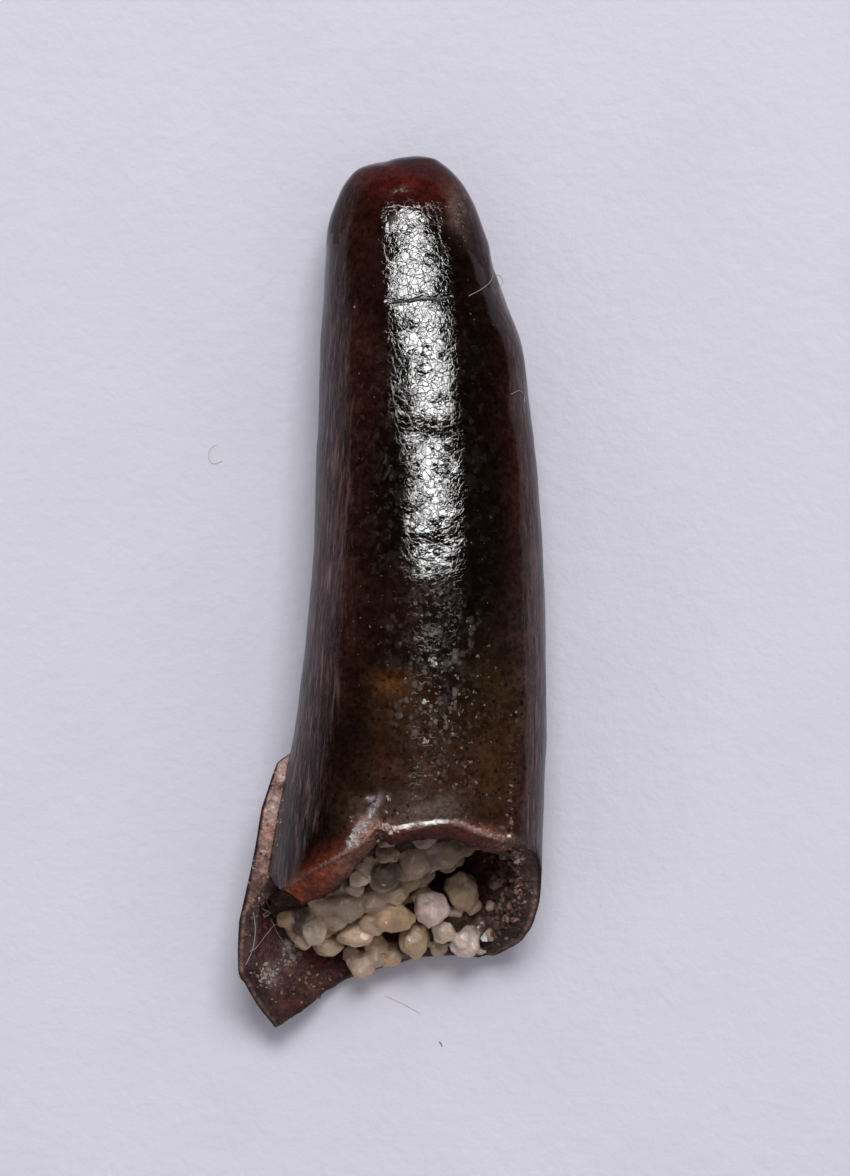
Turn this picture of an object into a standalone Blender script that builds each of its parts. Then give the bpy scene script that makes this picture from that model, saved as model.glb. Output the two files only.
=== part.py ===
"""A fossil pterosaur tooth lying on its side, its base broken open and its hollow plugged with sand."""

import math

import bmesh
import bpy
import numpy as np
from mathutils import Matrix

# All driving sizes are in millimetres. The tip points to +Y and the crown lies on z = 0.
MM = 0.001

# Crown: the place along it, its left and right edges seen from above, its underside and its top
CROWN = (
    (10.00, 0.55, 0.55, 1.55, 1.55),
    (9.95, 0.14, 0.94, 1.25, 1.90),
    (9.84, -0.39, 1.14, 0.99, 2.15),
    (9.70, -0.77, 1.33, 0.80, 2.36),
    (9.43, -1.03, 1.58, 0.60, 2.63),
    (9.02, -1.25, 1.83, 0.42, 2.92),
    (8.33, -1.46, 2.08, 0.22, 3.24),
    (7.60, -1.53, 2.29, 0.10, 3.51),
    (6.69, -1.57, 2.58, 0.02, 3.79),
    (5.77, -1.63, 2.92, -0.03, 4.01),
    (4.40, -1.66, 3.11, -0.05, 4.24),
    (2.81, -1.73, 3.29, -0.05, 4.42),
    (0.52, -1.82, 3.45, -0.05, 4.61),
    (-1.62, -2.03, 3.50, -0.05, 4.71),
    (-3.45, -2.28, 3.50, -0.05, 4.76),
    (-5.19, -2.60, 3.44, -0.05, 4.80),
    (-7.10, -2.92, 3.38, -0.05, 4.80),
    (-10.10, -2.97, 3.40, -0.05, 4.78),
)
FLOOR = 0.0

# Broken edge of the base: degrees round the crown (0 its right side, 90 its top), the y of the edge on
# the outside, and how far the edge on the inside lies beyond it
BROKEN_EDGE = (
    (0, -6.74, 0.00),
    (8, -6.28, 0.10),
    (20, -5.87, 0.20),
    (33, -5.71, 0.28),
    (57, -5.50, 0.28),
    (69, -5.28, 0.28),
    (79, -5.28, 0.28),
    (97, -5.44, 0.25),
    (104, -5.32, 0.30),
    (112, -5.78, 0.30),
    (115, -5.87, 0.37),
    (121, -6.05, 0.62),
    (130, -6.28, 0.64),
    (146, -6.67, 0.41),
    (153, -6.74, 0.11),
    (160, -6.60, 0.11),
    (175, -6.33, 0.07),
    (180, -6.33, 0.00),
    (184, -7.29, 0.00),
    (186, -8.55, -0.08),
    (188, -8.70, -0.16),
    (196, -8.90, -0.16),
    (204, -9.23, -0.18),
    (212, -9.64, -0.20),
    (218.5, -10.00, -0.24),
    (228.5, -9.73, -0.18),
    (239.7, -9.29, -0.18),
    (249.4, -8.91, -0.16),
    (262, -8.66, -0.16),
    (273.5, -8.43, -0.16),
    (287, -8.36, -0.16),
    (304, -8.37, -0.16),
    (312.5, -8.31, -0.16),
    (321.5, -8.16, -0.16),
    (331, -7.97, -0.14),
    (339, -7.74, -0.12),
    (346, -7.40, -0.08),
    (353, -7.08, -0.04),
    (360, -6.74, 0.00),
)

# Crack along the left flank: below it the wall is pushed outwards, by this much at each y
CRACK_FROM, CRACK_TO = math.radians(180), math.radians(184)
BELOW_CROWN = math.radians(270)
PUSHED_OUT = (
    (-3.66, 0.00),
    (-3.86, 0.27),
    (-4.20, 0.34),
    (-4.90, 0.43),
    (-6.30, 0.42),
    (-7.10, 0.48),
    (-7.50, 0.56),
    (-8.80, 0.56),
    (-10.10, 0.53),
)

# Wall and hollow
WALL = 0.37
WALL_EXTRA_RIGHT = 0.18
WALL_EXTRA_LEFT = 0.05
HOLLOW_NARROWS_FROM = -4.50
HOLLOW_END = 1.00

# Rings of the crown: distances from the tip over its round end, then places along it
TIP_RINGS = (0.12, 0.30, 0.52, 0.80, 1.12, 1.48)
CROWN_RINGS = (
    9.10, 8.45, 7.60, 6.60, 5.70, 4.60, 3.20, 1.80, 0.40, -1.00, -2.30, -3.40, -3.66, -3.86, -4.05,
)
BASE_RINGS = 8
HOLLOW_RINGS = 5
HOLLOW_STOPS = (-4.50, -3.86, -3.66, -3.00, -2.00, -0.90, 0.00, 0.60, 0.90)
COLUMNS = 72
EDGE_CORNERS = (104, 112, 121, 130, 153, 180, 184, 188, 218.5, 262)
FINE_STEPS = 4000

# Sand plug: degrees round the crown and the y where its front meets the wall
PLUG_FRONT = (
    (0, -4.80),
    (30, -4.70),
    (60, -4.80),
    (90, -5.00),
    (120, -5.20),
    (150, -6.00),
    (180, -6.80),
    (195, -7.30),
    (210, -7.70),
    (225, -7.90),
    (240, -7.90),
    (255, -7.60),
    (270, -6.75),
    (285, -6.15),
    (300, -5.70),
    (330, -5.10),
    (360, -4.80),
)
PLUG_MIDDLE = (-0.40, -7.32, 1.40)
PLUG_END = 0.45
PLUG_COLUMNS = 36
PLUG_WALL_RINGS = 4
PLUG_FRONT_RINGS = 4
PLUG_BULGE = 0.25
GAP = 0.10

# Sand grains: middle x, y, z, then width, length and height
PLUG_GRAINS = (
    (-1.73, -7.70, 1.85, 0.46, 0.68, 0.50),
    (-2.03, -7.90, 1.45, 0.42, 0.54, 0.44),
    (-1.37, -7.58, 1.72, 0.64, 0.64, 0.60),
    (-1.07, -7.13, 1.90, 0.90, 0.92, 0.84),
    (-0.87, -7.83, 1.40, 0.64, 0.60, 0.60),
    (-1.64, -8.07, 1.12, 0.54, 0.54, 0.54),
    (-1.23, -8.03, 1.12, 0.50, 0.54, 0.50),
    (-0.77, -6.92, 2.25, 0.60, 0.60, 0.56),
    (-0.77, -6.44, 2.65, 0.34, 0.30, 0.32),
    (-0.20, -6.53, 2.35, 0.56, 0.62, 0.56),
    (-0.66, -6.17, 2.45, 0.54, 0.54, 0.50),
    (0.34, -6.10, 2.40, 0.82, 0.90, 0.80),
    (0.87, -5.98, 2.35, 0.76, 0.82, 0.74),
    (-0.32, -5.89, 2.45, 0.64, 0.60, 0.60),
    (1.35, -5.80, 2.20, 0.72, 0.68, 0.68),
    (0.21, -6.85, 1.85, 0.54, 0.54, 0.52),
    (-0.09, -7.40, 1.70, 1.02, 0.62, 0.60),
    (-0.93, -7.42, 1.75, 0.70, 0.66, 0.62),
)
CLUSTER_CORE = (1.10, -7.55, 0.75, 2.00, 1.70, 1.40)
CLUSTER_GRAINS = (
    (0.88, -7.29, 1.62, 0.78, 0.86, 0.74),
    (0.80, -6.95, 1.30, 0.48, 0.50, 0.46),
    (1.55, -6.78, 1.32, 0.78, 0.80, 0.72),
    (1.83, -7.26, 1.15, 0.42, 0.40, 0.40),
    (0.50, -7.97, 1.00, 0.74, 0.92, 0.74),
    (1.18, -7.79, 1.25, 0.52, 0.50, 0.48),
    (1.62, -7.99, 1.02, 0.70, 0.74, 0.66),
    (1.05, -8.15, 0.75, 0.44, 0.40, 0.42),
    (2.08, -7.86, 1.02, 0.42, 0.38, 0.38),
    (1.95, -8.14, 0.92, 0.34, 0.30, 0.30),
    (-0.12, -8.20, 0.60, 1.60, 0.50, 0.50),
    (-0.64, -8.43, 0.75, 0.78, 0.74, 0.68),
    (-0.36, -8.06, 0.75, 0.38, 0.36, 0.36),
    (0.00, -8.29, 0.66, 0.44, 0.40, 0.40),
)
GRAIN_DETAIL = 1
CORE_DETAIL = 2
GRAIN_TURN = math.radians(47)

# The cluster keeps to the hollow's mouth, drawn in by the gap and run on past the base
ROOM_STOPS = (-5.20, -6.30, -7.10, -7.50, -8.30, -9.20)

ENAMEL_COLOUR, ENAMEL_ROUGHNESS = (0.030, 0.014, 0.010), 0.15
SAND_COLOUR, SAND_ROUGHNESS = (0.33, 0.26, 0.21), 0.5


def curve_through(knots, rows, at):
    """Points at the given knot values on a smooth curve through the rows."""
    slopes = np.gradient(rows, knots, axis=0)
    low = np.clip(np.searchsorted(knots, at, side="right") - 1, 0, len(knots) - 2)
    gap = (knots[low + 1] - knots[low])[:, None]
    t = (at - knots[low])[:, None] / gap
    near = (1 + 2 * t) * (1 - t) ** 2 * rows[low] + t * (1 - t) ** 2 * gap * slopes[low]
    far = t**2 * (3 - 2 * t) * rows[low + 1] - t**2 * (1 - t) * gap * slopes[low + 1]
    return near + far


def crown_curve():
    """The crown's rows against distance from the tip. A mirrored first row makes the tip round."""
    rows = np.array(CROWN)
    half_widths = (rows[:, 2] - rows[:, 1]) / 2
    steps = np.hypot(np.diff(rows[:, 0]), np.diff(half_widths))
    distances = np.concatenate([[0.0], np.cumsum(steps)])
    y, left, right, under, top = rows[1]
    mirrored = (y, right, left, top, under)
    return np.concatenate([[-distances[1]], distances]), np.vstack([mirrored, rows])


KNOTS, ROWS = crown_curve()
FINE_DISTANCES = np.linspace(0, KNOTS[-1], FINE_STEPS)
FINE_Y = curve_through(KNOTS, ROWS, FINE_DISTANCES)[:, 0]


def crown_section(y):
    """Middle x and z and half width and height of the crown at each y."""
    distances = np.interp(-y, -FINE_Y, FINE_DISTANCES)
    left, right, under, top = curve_through(KNOTS, ROWS, distances)[:, 1:].T
    return (left + right) / 2, (under + top) / 2, (right - left) / 2, (top - under) / 2


def pushed_out(angles, y):
    """How far the wall below the crack stands out to the left."""
    by_y = np.interp(-y, [-row[0] for row in PUSHED_OUT], [row[1] for row in PUSHED_OUT])
    by_angle = np.clip((angles - CRACK_FROM) / (CRACK_TO - CRACK_FROM), 0, 1)
    return by_y * by_angle * (angles <= BELOW_CROWN)


def outer_wall(angles, y):
    """Points on the crown's outside, with the underside flattened where it rests."""
    middle_x, middle_z, half_x, half_z = crown_section(y)
    x = middle_x + (half_x + pushed_out(angles, y)) * np.cos(angles)
    z = middle_z + half_z * np.sin(angles)
    return np.stack([x, y, np.maximum(z, FLOOR)], axis=1)


def wall_thickness(angles):
    extra = np.where(np.cos(angles) > 0, WALL_EXTRA_RIGHT, WALL_EXTRA_LEFT)
    return WALL + extra * np.cos(angles) ** 2


def hollow_wall(angles, y, inset=0.0):
    """Points on the wall of the hollow, or this far inside it."""
    middle_x, middle_z, half_x, half_z = crown_section(y)
    depth = np.clip((y - HOLLOW_NARROWS_FROM) / (HOLLOW_END - HOLLOW_NARROWS_FROM), 0, 1)
    narrowing = np.sqrt(1 - depth**2)
    wall = wall_thickness(angles)
    across = np.maximum((half_x + pushed_out(angles, y) - wall) * narrowing - inset, 0)
    upright = np.maximum((half_z - wall) * narrowing - inset, 0)
    x = middle_x + across * np.cos(angles)
    z = middle_z + upright * np.sin(angles)
    return np.stack([x, y, z], axis=1)


def broken_edge(angles):
    """The y of the broken edge at each angle, on the outside and on the inside."""
    degrees = np.degrees(angles)
    knots, outside, beyond = np.array(BROKEN_EDGE).T
    edge = np.interp(degrees, knots, outside)
    return edge, edge - np.interp(degrees, knots, beyond)


def column_angles():
    """Even angles round the crown, each corner of the broken edge taking the nearest one."""
    angles = np.linspace(0, 360, COLUMNS, endpoint=False)
    for corner in EDGE_CORNERS:
        angles[np.argmin(abs(angles - corner))] = corner
    return np.radians(angles)


def along(start, end, count):
    """The places after the start and up to the end, in this many even steps."""
    return [start + (end - start) * step / count for step in range(1, count + 1)]


def level(angles, y):
    return np.full(len(angles), float(y))


def new_collection(name):
    collection = bpy.data.collections.new(name)
    bpy.context.scene.collection.children.link(collection)
    return collection


def principled(name, colour, roughness):
    material = bpy.data.materials.new(name)
    material.use_nodes = True
    shader = material.node_tree.nodes["Principled BSDF"]
    shader.inputs["Base Color"].default_value = (*colour, 1)
    shader.inputs["Roughness"].default_value = roughness
    shader.inputs["Metallic"].default_value = 0
    return material


def new_object(name, shape, collection):
    mesh = bpy.data.meshes.new(name)
    shape.to_mesh(mesh)
    shape.free()
    made = bpy.data.objects.new(name, mesh)
    collection.objects.link(made)
    return made


def loft(name, rings, poles, collection):
    """A closed skin through unlike rings of one count, drawn to a point at each end."""
    shape = bmesh.new()
    first, last = (shape.verts.new(np.array(pole) * MM) for pole in poles)
    rows = [[shape.verts.new(point * MM) for point in ring] for ring in rings]
    for row, following in zip(rows, rows[1:]):
        for i, vertex in enumerate(row):
            before = i - 1
            shape.faces.new((row[before], vertex, following[i], following[before]))
    for pole, row in ((first, rows[0]), (last, rows[-1])):
        for i, vertex in enumerate(row):
            shape.faces.new((pole, vertex, row[i - 1]))
    bmesh.ops.recalc_face_normals(shape, faces=shape.faces)
    return new_object(name, shape, collection)


def build_tooth(collection):
    """The crown's outside, its broken edge and its hollow, as one skin."""
    angles = column_angles()
    outside, inside = broken_edge(angles)
    tip = curve_through(KNOTS, ROWS, np.array(TIP_RINGS))[:, 0]
    rings = [outer_wall(angles, level(angles, y)) for y in (*tip, *CROWN_RINGS)]
    last_level = level(angles, CROWN_RINGS[-1])
    rings += [outer_wall(angles, y) for y in along(last_level, outside, BASE_RINGS)]
    rings.append(hollow_wall(angles, inside))
    first_stop = level(angles, HOLLOW_STOPS[0])
    rings += [hollow_wall(angles, y) for y in along(inside, first_stop, HOLLOW_RINGS)]
    rings += [hollow_wall(angles, level(angles, y)) for y in HOLLOW_STOPS[1:]]
    tip_y, tip_x, _, tip_z, _ = CROWN[0]
    hollow_end = hollow_wall(angles, level(angles, HOLLOW_END))[0]
    return loft("tooth", rings, [(tip_x, tip_y, tip_z), hollow_end], collection)


def build_plug(collection):
    """The sand that fills the hollow, up to a front that slopes down from under the top wall."""
    angles = np.linspace(0, math.tau, PLUG_COLUMNS, endpoint=False)
    knots, front = np.array(PLUG_FRONT).T
    front = np.interp(np.degrees(angles), knots, front)
    stops = [y for y in HOLLOW_STOPS[::-1] if y < PLUG_END]
    rings = [hollow_wall(angles, level(angles, y), GAP) for y in stops]
    last_stop = level(angles, stops[-1])
    rings += [hollow_wall(angles, y, GAP) for y in along(last_stop, front, PLUG_WALL_RINGS)]
    edge = rings[-1]
    for share in along(0, 1, PLUG_FRONT_RINGS)[:-1]:
        ring = edge + (np.array(PLUG_MIDDLE) - edge) * share
        ring[:, 1] -= PLUG_BULGE * math.sin(math.pi * share)
        rings.append(ring)
    deep_x, _, deep_z = rings[0].mean(axis=0)
    return loft("sand_plug", rings, [(deep_x, PLUG_END, deep_z), PLUG_MIDDLE], collection)


def lump(name, row, turn, detail, collection):
    """A rounded lump of sand or one grain, with its middle and its three sizes."""
    shape = bmesh.new()
    place = Matrix.Translation([MM * value for value in row[:3]])
    size = Matrix.Diagonal([MM * value for value in row[3:]] + [1])
    turned = Matrix.Rotation(turn, 4, "Z")
    bmesh.ops.create_icosphere(shape, subdivisions=detail, radius=0.5, matrix=place @ size @ turned)
    return new_object(name, shape, collection)


def build_room(collection):
    """The space in and before the hollow's mouth, which trims the cluster."""
    angles = column_angles()
    rings = [hollow_wall(angles, level(angles, y), GAP) for y in ROOM_STOPS]
    poles = [rings[0].mean(axis=0) + (0, GAP, 0), rings[-1].mean(axis=0) - (0, GAP, 0)]
    return loft("hollow_room", rings, poles, collection)


def fuse_grains(base, grains):
    fuse = base.modifiers.new("fuse_grains", "BOOLEAN")
    fuse.operation = "UNION"
    fuse.operand_type = "COLLECTION"
    fuse.collection = grains


def trim_to_hollow(base, room):
    trim = base.modifiers.new("trim_to_hollow", "BOOLEAN")
    trim.operation = "INTERSECT"
    trim.object = room


def sand_grains(name, rows, helpers):
    """A collection of grains, each turned its own way."""
    grains = bpy.data.collections.new(name)
    helpers.children.link(grains)
    for number, row in enumerate(rows):
        lump(f"{name}_{number:02d}", row, number * GRAIN_TURN, GRAIN_DETAIL, grains)
    return grains


def main():
    for old in list(bpy.data.objects):
        bpy.data.objects.remove(old, do_unlink=True)
    parts = new_collection("pterosaur_tooth")
    helpers = new_collection("cutters")
    helpers.hide_render = True

    tooth = build_tooth(parts)
    tooth.data.materials.append(principled("tooth_enamel", ENAMEL_COLOUR, ENAMEL_ROUGHNESS))

    sand = principled("sand", SAND_COLOUR, SAND_ROUGHNESS)
    plug = build_plug(parts)
    fuse_grains(plug, sand_grains("plug_grain", PLUG_GRAINS, helpers))
    cluster = lump("sand_cluster", CLUSTER_CORE, 0, CORE_DETAIL, parts)
    fuse_grains(cluster, sand_grains("cluster_grain", CLUSTER_GRAINS, helpers))
    trim_to_hollow(cluster, build_room(helpers))
    for piece in (plug, cluster):
        piece.data.materials.append(sand)
    for helper in helpers.all_objects:
        helper.hide_render = True
        helper.display_type = "WIRE"


main()
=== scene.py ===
"""The looks of a fossil pterosaur tooth that lies on pale paper, seen from straight above."""

import math

import bmesh
import bpy
import numpy as np
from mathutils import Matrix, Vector, noise
from mathutils.bvhtree import BVHTree


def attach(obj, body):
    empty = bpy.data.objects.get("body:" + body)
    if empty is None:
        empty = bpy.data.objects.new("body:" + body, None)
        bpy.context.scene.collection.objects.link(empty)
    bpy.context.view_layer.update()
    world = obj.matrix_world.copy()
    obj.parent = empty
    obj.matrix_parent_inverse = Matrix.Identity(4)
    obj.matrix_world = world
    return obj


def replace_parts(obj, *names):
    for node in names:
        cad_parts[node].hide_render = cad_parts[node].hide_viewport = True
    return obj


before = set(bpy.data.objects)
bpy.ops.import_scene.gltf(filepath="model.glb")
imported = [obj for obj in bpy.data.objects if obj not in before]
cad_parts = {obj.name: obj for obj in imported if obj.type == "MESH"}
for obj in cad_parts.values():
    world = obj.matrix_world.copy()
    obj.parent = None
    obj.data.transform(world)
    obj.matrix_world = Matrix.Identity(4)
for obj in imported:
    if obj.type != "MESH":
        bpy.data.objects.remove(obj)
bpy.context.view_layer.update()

# All sizes are in millimetres, as in the solids: the tip points to +Y and the crown lies on z = 0.
MM = 0.001

# Crown: the place along it, its left and right edges seen from above, its underside and its top
CROWN = (
    (10.00, 0.55, 0.55, 1.55, 1.55),
    (9.95, 0.14, 0.94, 1.25, 1.90),
    (9.84, -0.39, 1.14, 0.99, 2.15),
    (9.70, -0.77, 1.33, 0.80, 2.36),
    (9.43, -1.03, 1.58, 0.60, 2.63),
    (9.02, -1.25, 1.83, 0.42, 2.92),
    (8.33, -1.46, 2.08, 0.22, 3.24),
    (7.60, -1.53, 2.29, 0.10, 3.51),
    (6.69, -1.57, 2.58, 0.02, 3.79),
    (5.77, -1.63, 2.92, -0.03, 4.01),
    (4.40, -1.66, 3.11, -0.05, 4.24),
    (2.81, -1.73, 3.29, -0.05, 4.42),
    (0.52, -1.82, 3.45, -0.05, 4.61),
    (-1.62, -2.03, 3.50, -0.05, 4.71),
    (-3.45, -2.28, 3.50, -0.05, 4.76),
    (-5.19, -2.60, 3.44, -0.05, 4.80),
    (-7.10, -2.92, 3.38, -0.05, 4.80),
    (-10.10, -2.97, 3.40, -0.05, 4.78),
)
FLOOR = 0.0

# Broken edge of the base: degrees round the crown (0 its right side, 90 its top), the y of the edge on
# the outside, and how far the edge on the inside lies beyond it
BROKEN_EDGE = (
    (0, -6.74, 0.00),
    (8, -6.28, 0.10),
    (20, -5.87, 0.20),
    (33, -5.71, 0.28),
    (57, -5.50, 0.28),
    (69, -5.28, 0.28),
    (79, -5.28, 0.28),
    (97, -5.44, 0.25),
    (104, -5.32, 0.30),
    (112, -5.78, 0.30),
    (115, -5.87, 0.37),
    (121, -6.05, 0.62),
    (130, -6.28, 0.64),
    (146, -6.67, 0.41),
    (153, -6.74, 0.11),
    (160, -6.60, 0.11),
    (175, -6.33, 0.07),
    (180, -6.33, 0.00),
    (184, -7.29, 0.00),
    (186, -8.55, -0.08),
    (188, -8.70, -0.16),
    (196, -8.90, -0.16),
    (204, -9.23, -0.18),
    (212, -9.64, -0.20),
    (218.5, -10.00, -0.24),
    (228.5, -9.73, -0.18),
    (239.7, -9.29, -0.18),
    (249.4, -8.91, -0.16),
    (262, -8.66, -0.16),
    (273.5, -8.43, -0.16),
    (287, -8.36, -0.16),
    (304, -8.37, -0.16),
    (312.5, -8.31, -0.16),
    (321.5, -8.16, -0.16),
    (331, -7.97, -0.14),
    (339, -7.74, -0.12),
    (346, -7.40, -0.08),
    (353, -7.08, -0.04),
    (360, -6.74, 0.00),
)
EDGE_CORNERS = (104, 112, 121, 130, 153, 180, 184, 188, 218.5, 262)

# Crack along the left flank: below it the wall is pushed outwards, by this much at each y
CRACK_FROM, CRACK_TO = math.radians(180), math.radians(184)
BELOW_CROWN = math.radians(270)
PUSHED_OUT = (
    (-3.66, 0.00),
    (-3.86, 0.27),
    (-4.20, 0.34),
    (-4.90, 0.43),
    (-6.30, 0.42),
    (-7.10, 0.48),
    (-7.50, 0.56),
    (-8.80, 0.56),
    (-10.10, 0.53),
)

# Wall and hollow
WALL = 0.37
WALL_EXTRA_RIGHT = 0.18
WALL_EXTRA_LEFT = 0.05
HOLLOW_NARROWS_FROM = -4.50
HOLLOW_END = 1.00

# Sand plug: degrees round the crown and the y where its front meets the wall
PLUG_FRONT = (
    (0, -4.80),
    (30, -4.70),
    (60, -4.80),
    (90, -5.00),
    (120, -5.20),
    (150, -6.00),
    (180, -6.80),
    (195, -7.30),
    (210, -7.70),
    (225, -7.90),
    (240, -7.90),
    (255, -7.60),
    (270, -6.75),
    (285, -6.15),
    (300, -5.70),
    (330, -5.10),
    (360, -4.80),
)
PLUG_COLUMNS, PLUG_DEEP_ROWS, PLUG_OPEN_ROWS, PLUG_FRONT_ROWS = 120, 14, 24, 36
PLUG_MIDDLE = (-0.40, -7.32, 1.40)
PLUG_END = 0.45
PLUG_BULGE = 0.25
PLUG_RECESS = 0.22
GAP = 0.10

# Tints of quartz, sediment and flakes
PALE = (0.84, 0.60, 0.43)
CREAM = (0.96, 0.76, 0.58)
MAUVE = (0.97, 0.78, 0.72)
GREY = (0.64, 0.47, 0.36)
OLIVE = (0.66, 0.47, 0.31)
AMBER = (0.72, 0.48, 0.28)
PINK = (0.82, 0.59, 0.48)
# DIM, DIM_MAUVE and DARK are darkened tints. On the plug's grains under the near wall's lip they are painted
# shade.
DIM = (0.40, 0.265, 0.180)
DIM_MAUVE = (0.36, 0.255, 0.220)
DARK = (0.10, 0.060, 0.046)
PALE_SEDIMENT = (0.48, 0.42, 0.39)
FLAKE_PALE = (0.36, 0.31, 0.285)
FLAKE_GREY = (0.150, 0.122, 0.110)
FLAKE_DIM = (0.070, 0.054, 0.048)
DARK_CRUMB = (0.055, 0.030, 0.028)
ROSE_CRUMB = (0.34, 0.165, 0.130)
TAN_CRUMB = (0.34, 0.24, 0.16)

# Clumps of grains that have grown together
CLUMP_VOXEL = 0.028
CLUMP_SMOOTHINGS = 3
CLUMP_UNEVEN = 0.26
GRAIN_SWELL = 1.07
TINT_SHARPNESS = 14
# Fill grains short of FILL_OPEN_BEYOND lie under the near wall's lip and take darkened tints: painted shade
FILL_SHADED_TINTS = (DIM, DIM_MAUVE, DARK) * 2
FILL_OPEN_TINTS = (OLIVE, GREY, AMBER, PINK, PALE, DARK)
FILL_OPEN_BEYOND = -6.5

# Sand grains: middle x, y, z, then width, length and height, and tint. The DIM, DIM_MAUVE and DARK tints of
# the plug's grains under the near wall's lip are painted shade.
PLUG_GRAINS = (
    (-1.756, -7.70, 1.90, 0.55, 0.70, 0.52, CREAM),
    (-2.03, -7.92, 1.45, 0.46, 0.52, 0.46, PALE),
    (-1.15, -7.13, 1.98, 0.94, 0.84, 0.80, GREY),
    (-1.35, -7.45, 1.85, 0.62, 0.60, 0.60, PALE),
    (-0.84, -7.83, 1.48, 0.82, 0.56, 0.60, PALE),
    (-1.46, -8.08, 1.18, 0.70, 0.52, 0.52, PALE),
    (-0.02, -7.43, 1.75, 1.08, 0.68, 0.62, AMBER),
    (-0.46, -7.56, 1.66, 0.60, 0.56, 0.56, PALE),
    (-0.74, -6.50, 2.78, 0.46, 0.38, 0.38, CREAM),
    (-0.86, -6.74, 2.50, 0.46, 0.40, 0.42, GREY),
    # The grains from here on with DIM, DIM_MAUVE or DARK tints lie under the lip: painted shade
    (-0.21, -6.52, 2.55, 0.58, 0.62, 0.56, DIM),
    (-0.63, -6.13, 2.60, 0.60, 0.64, 0.52, PINK),
    (0.31, -6.19, 2.50, 0.84, 0.74, 0.72, DIM),
    (-0.02, -6.03, 2.62, 0.68, 0.60, 0.58, DIM),
    (0.92, -6.00, 2.48, 0.64, 0.76, 0.66, DIM_MAUVE),
    (1.41, -5.86, 2.25, 0.72, 0.62, 0.64, DIM_MAUVE),
    (0.07, -6.85, 1.95, 0.62, 0.56, 0.56, OLIVE),
    (-0.45, -7.02, 2.05, 0.66, 0.60, 0.60, GREY),
    (-1.15, -6.62, 2.20, 0.56, 0.50, 0.50, OLIVE),
    (-1.66, -7.18, 1.70, 0.56, 0.56, 0.54, AMBER),
    (-0.48, -5.86, 2.70, 0.80, 0.66, 0.60, DIM),
    (0.18, -5.74, 2.78, 0.86, 0.70, 0.62, DIM),
    (0.82, -5.66, 2.74, 0.82, 0.70, 0.60, DIM_MAUVE),
    (1.42, -5.58, 2.52, 0.78, 0.62, 0.60, DIM_MAUVE),
    (1.96, -5.62, 2.20, 0.62, 0.50, 0.52, DARK),
)
CLUSTER_CORE = (1.05, -7.45, 0.72, 1.90, 1.50, 1.20, DARK)
CLUSTER_GRAINS = (
    (0.92, -7.26, 1.66, 0.78, 0.84, 0.72, MAUVE),
    (0.64, -6.88, 1.40, 0.58, 0.48, 0.50, GREY),
    (1.58, -6.82, 1.38, 0.78, 0.88, 0.74, OLIVE),
    (1.85, -7.20, 1.15, 0.42, 0.42, 0.40, PINK),
    (1.42, -7.34, 1.25, 0.40, 0.32, 0.34, PINK),
    (0.53, -7.95, 1.02, 0.72, 0.94, 0.74, OLIVE),
    (1.19, -7.79, 1.34, 0.54, 0.52, 0.50, CREAM),
    (1.66, -8.00, 1.08, 0.68, 0.74, 0.66, MAUVE),
    (1.08, -8.14, 0.80, 0.46, 0.42, 0.42, GREY),
    (-0.72, -8.52, 0.74, 0.66, 0.66, 0.60, PINK),
    (-0.46, -8.38, 0.84, 0.50, 0.46, 0.44, PINK),
    (-0.92, -8.30, 0.70, 0.44, 0.42, 0.40, GREY),
    (-0.39, -8.06, 0.78, 0.56, 0.50, 0.48, OLIVE),
    (-0.08, -8.36, 0.68, 0.56, 0.46, 0.46, OLIVE),
    (-0.10, -8.20, 0.56, 1.30, 0.44, 0.44, DARK),
    (1.98, -7.62, 0.78, 0.60, 0.62, 0.50, DARK),
    (1.50, -7.50, 0.85, 0.70, 0.70, 0.60, DARK),
)

# Mesh of the crown
COLUMNS = 264
CRACK_COLUMNS = 8
TIP_LENGTH = 1.5
TIP_ROWS = 34
LEVEL_ROW_PITCH = 0.08
LEVEL_END = -4.05
BASE_ROWS = 64
EDGE_ROWS = 6
HOLLOW_ROWS = 26
HOLLOW_END_ROWS = 12
FINE_STEPS = 4000


def curve_through(knots, rows, at):
    """Points at the given knot values on a smooth curve through the rows."""
    slopes = np.gradient(rows, knots, axis=0)
    low = np.clip(np.searchsorted(knots, at, side="right") - 1, 0, len(knots) - 2)
    gap = (knots[low + 1] - knots[low])[:, None]
    t = (at - knots[low])[:, None] / gap
    near = (1 + 2 * t) * (1 - t) ** 2 * rows[low] + t * (1 - t) ** 2 * gap * slopes[low]
    far = t**2 * (3 - 2 * t) * rows[low + 1] - t**2 * (1 - t) * gap * slopes[low + 1]
    return near + far


def crown_curve():
    """The crown's rows against distance from the tip. A mirrored first row makes the tip round."""
    rows = np.array(CROWN)
    half_widths = (rows[:, 2] - rows[:, 1]) / 2
    steps = np.hypot(np.diff(rows[:, 0]), np.diff(half_widths))
    distances = np.concatenate([[0.0], np.cumsum(steps)])
    y, left, right, under, top = rows[1]
    mirrored = (y, right, left, top, under)
    return np.concatenate([[-distances[1]], distances]), np.vstack([mirrored, rows])


KNOTS, ROWS = crown_curve()
FINE_DISTANCES = np.linspace(0, KNOTS[-1], FINE_STEPS)
FINE_Y = curve_through(KNOTS, ROWS, FINE_DISTANCES)[:, 0]


def crown_section(y):
    """Middle x and z and half width and height of the crown at each y."""
    distances = np.interp(-y, -FINE_Y, FINE_DISTANCES)
    left, right, under, top = curve_through(KNOTS, ROWS, distances)[:, 1:].T
    return (left + right) / 2, (under + top) / 2, (right - left) / 2, (top - under) / 2


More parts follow.
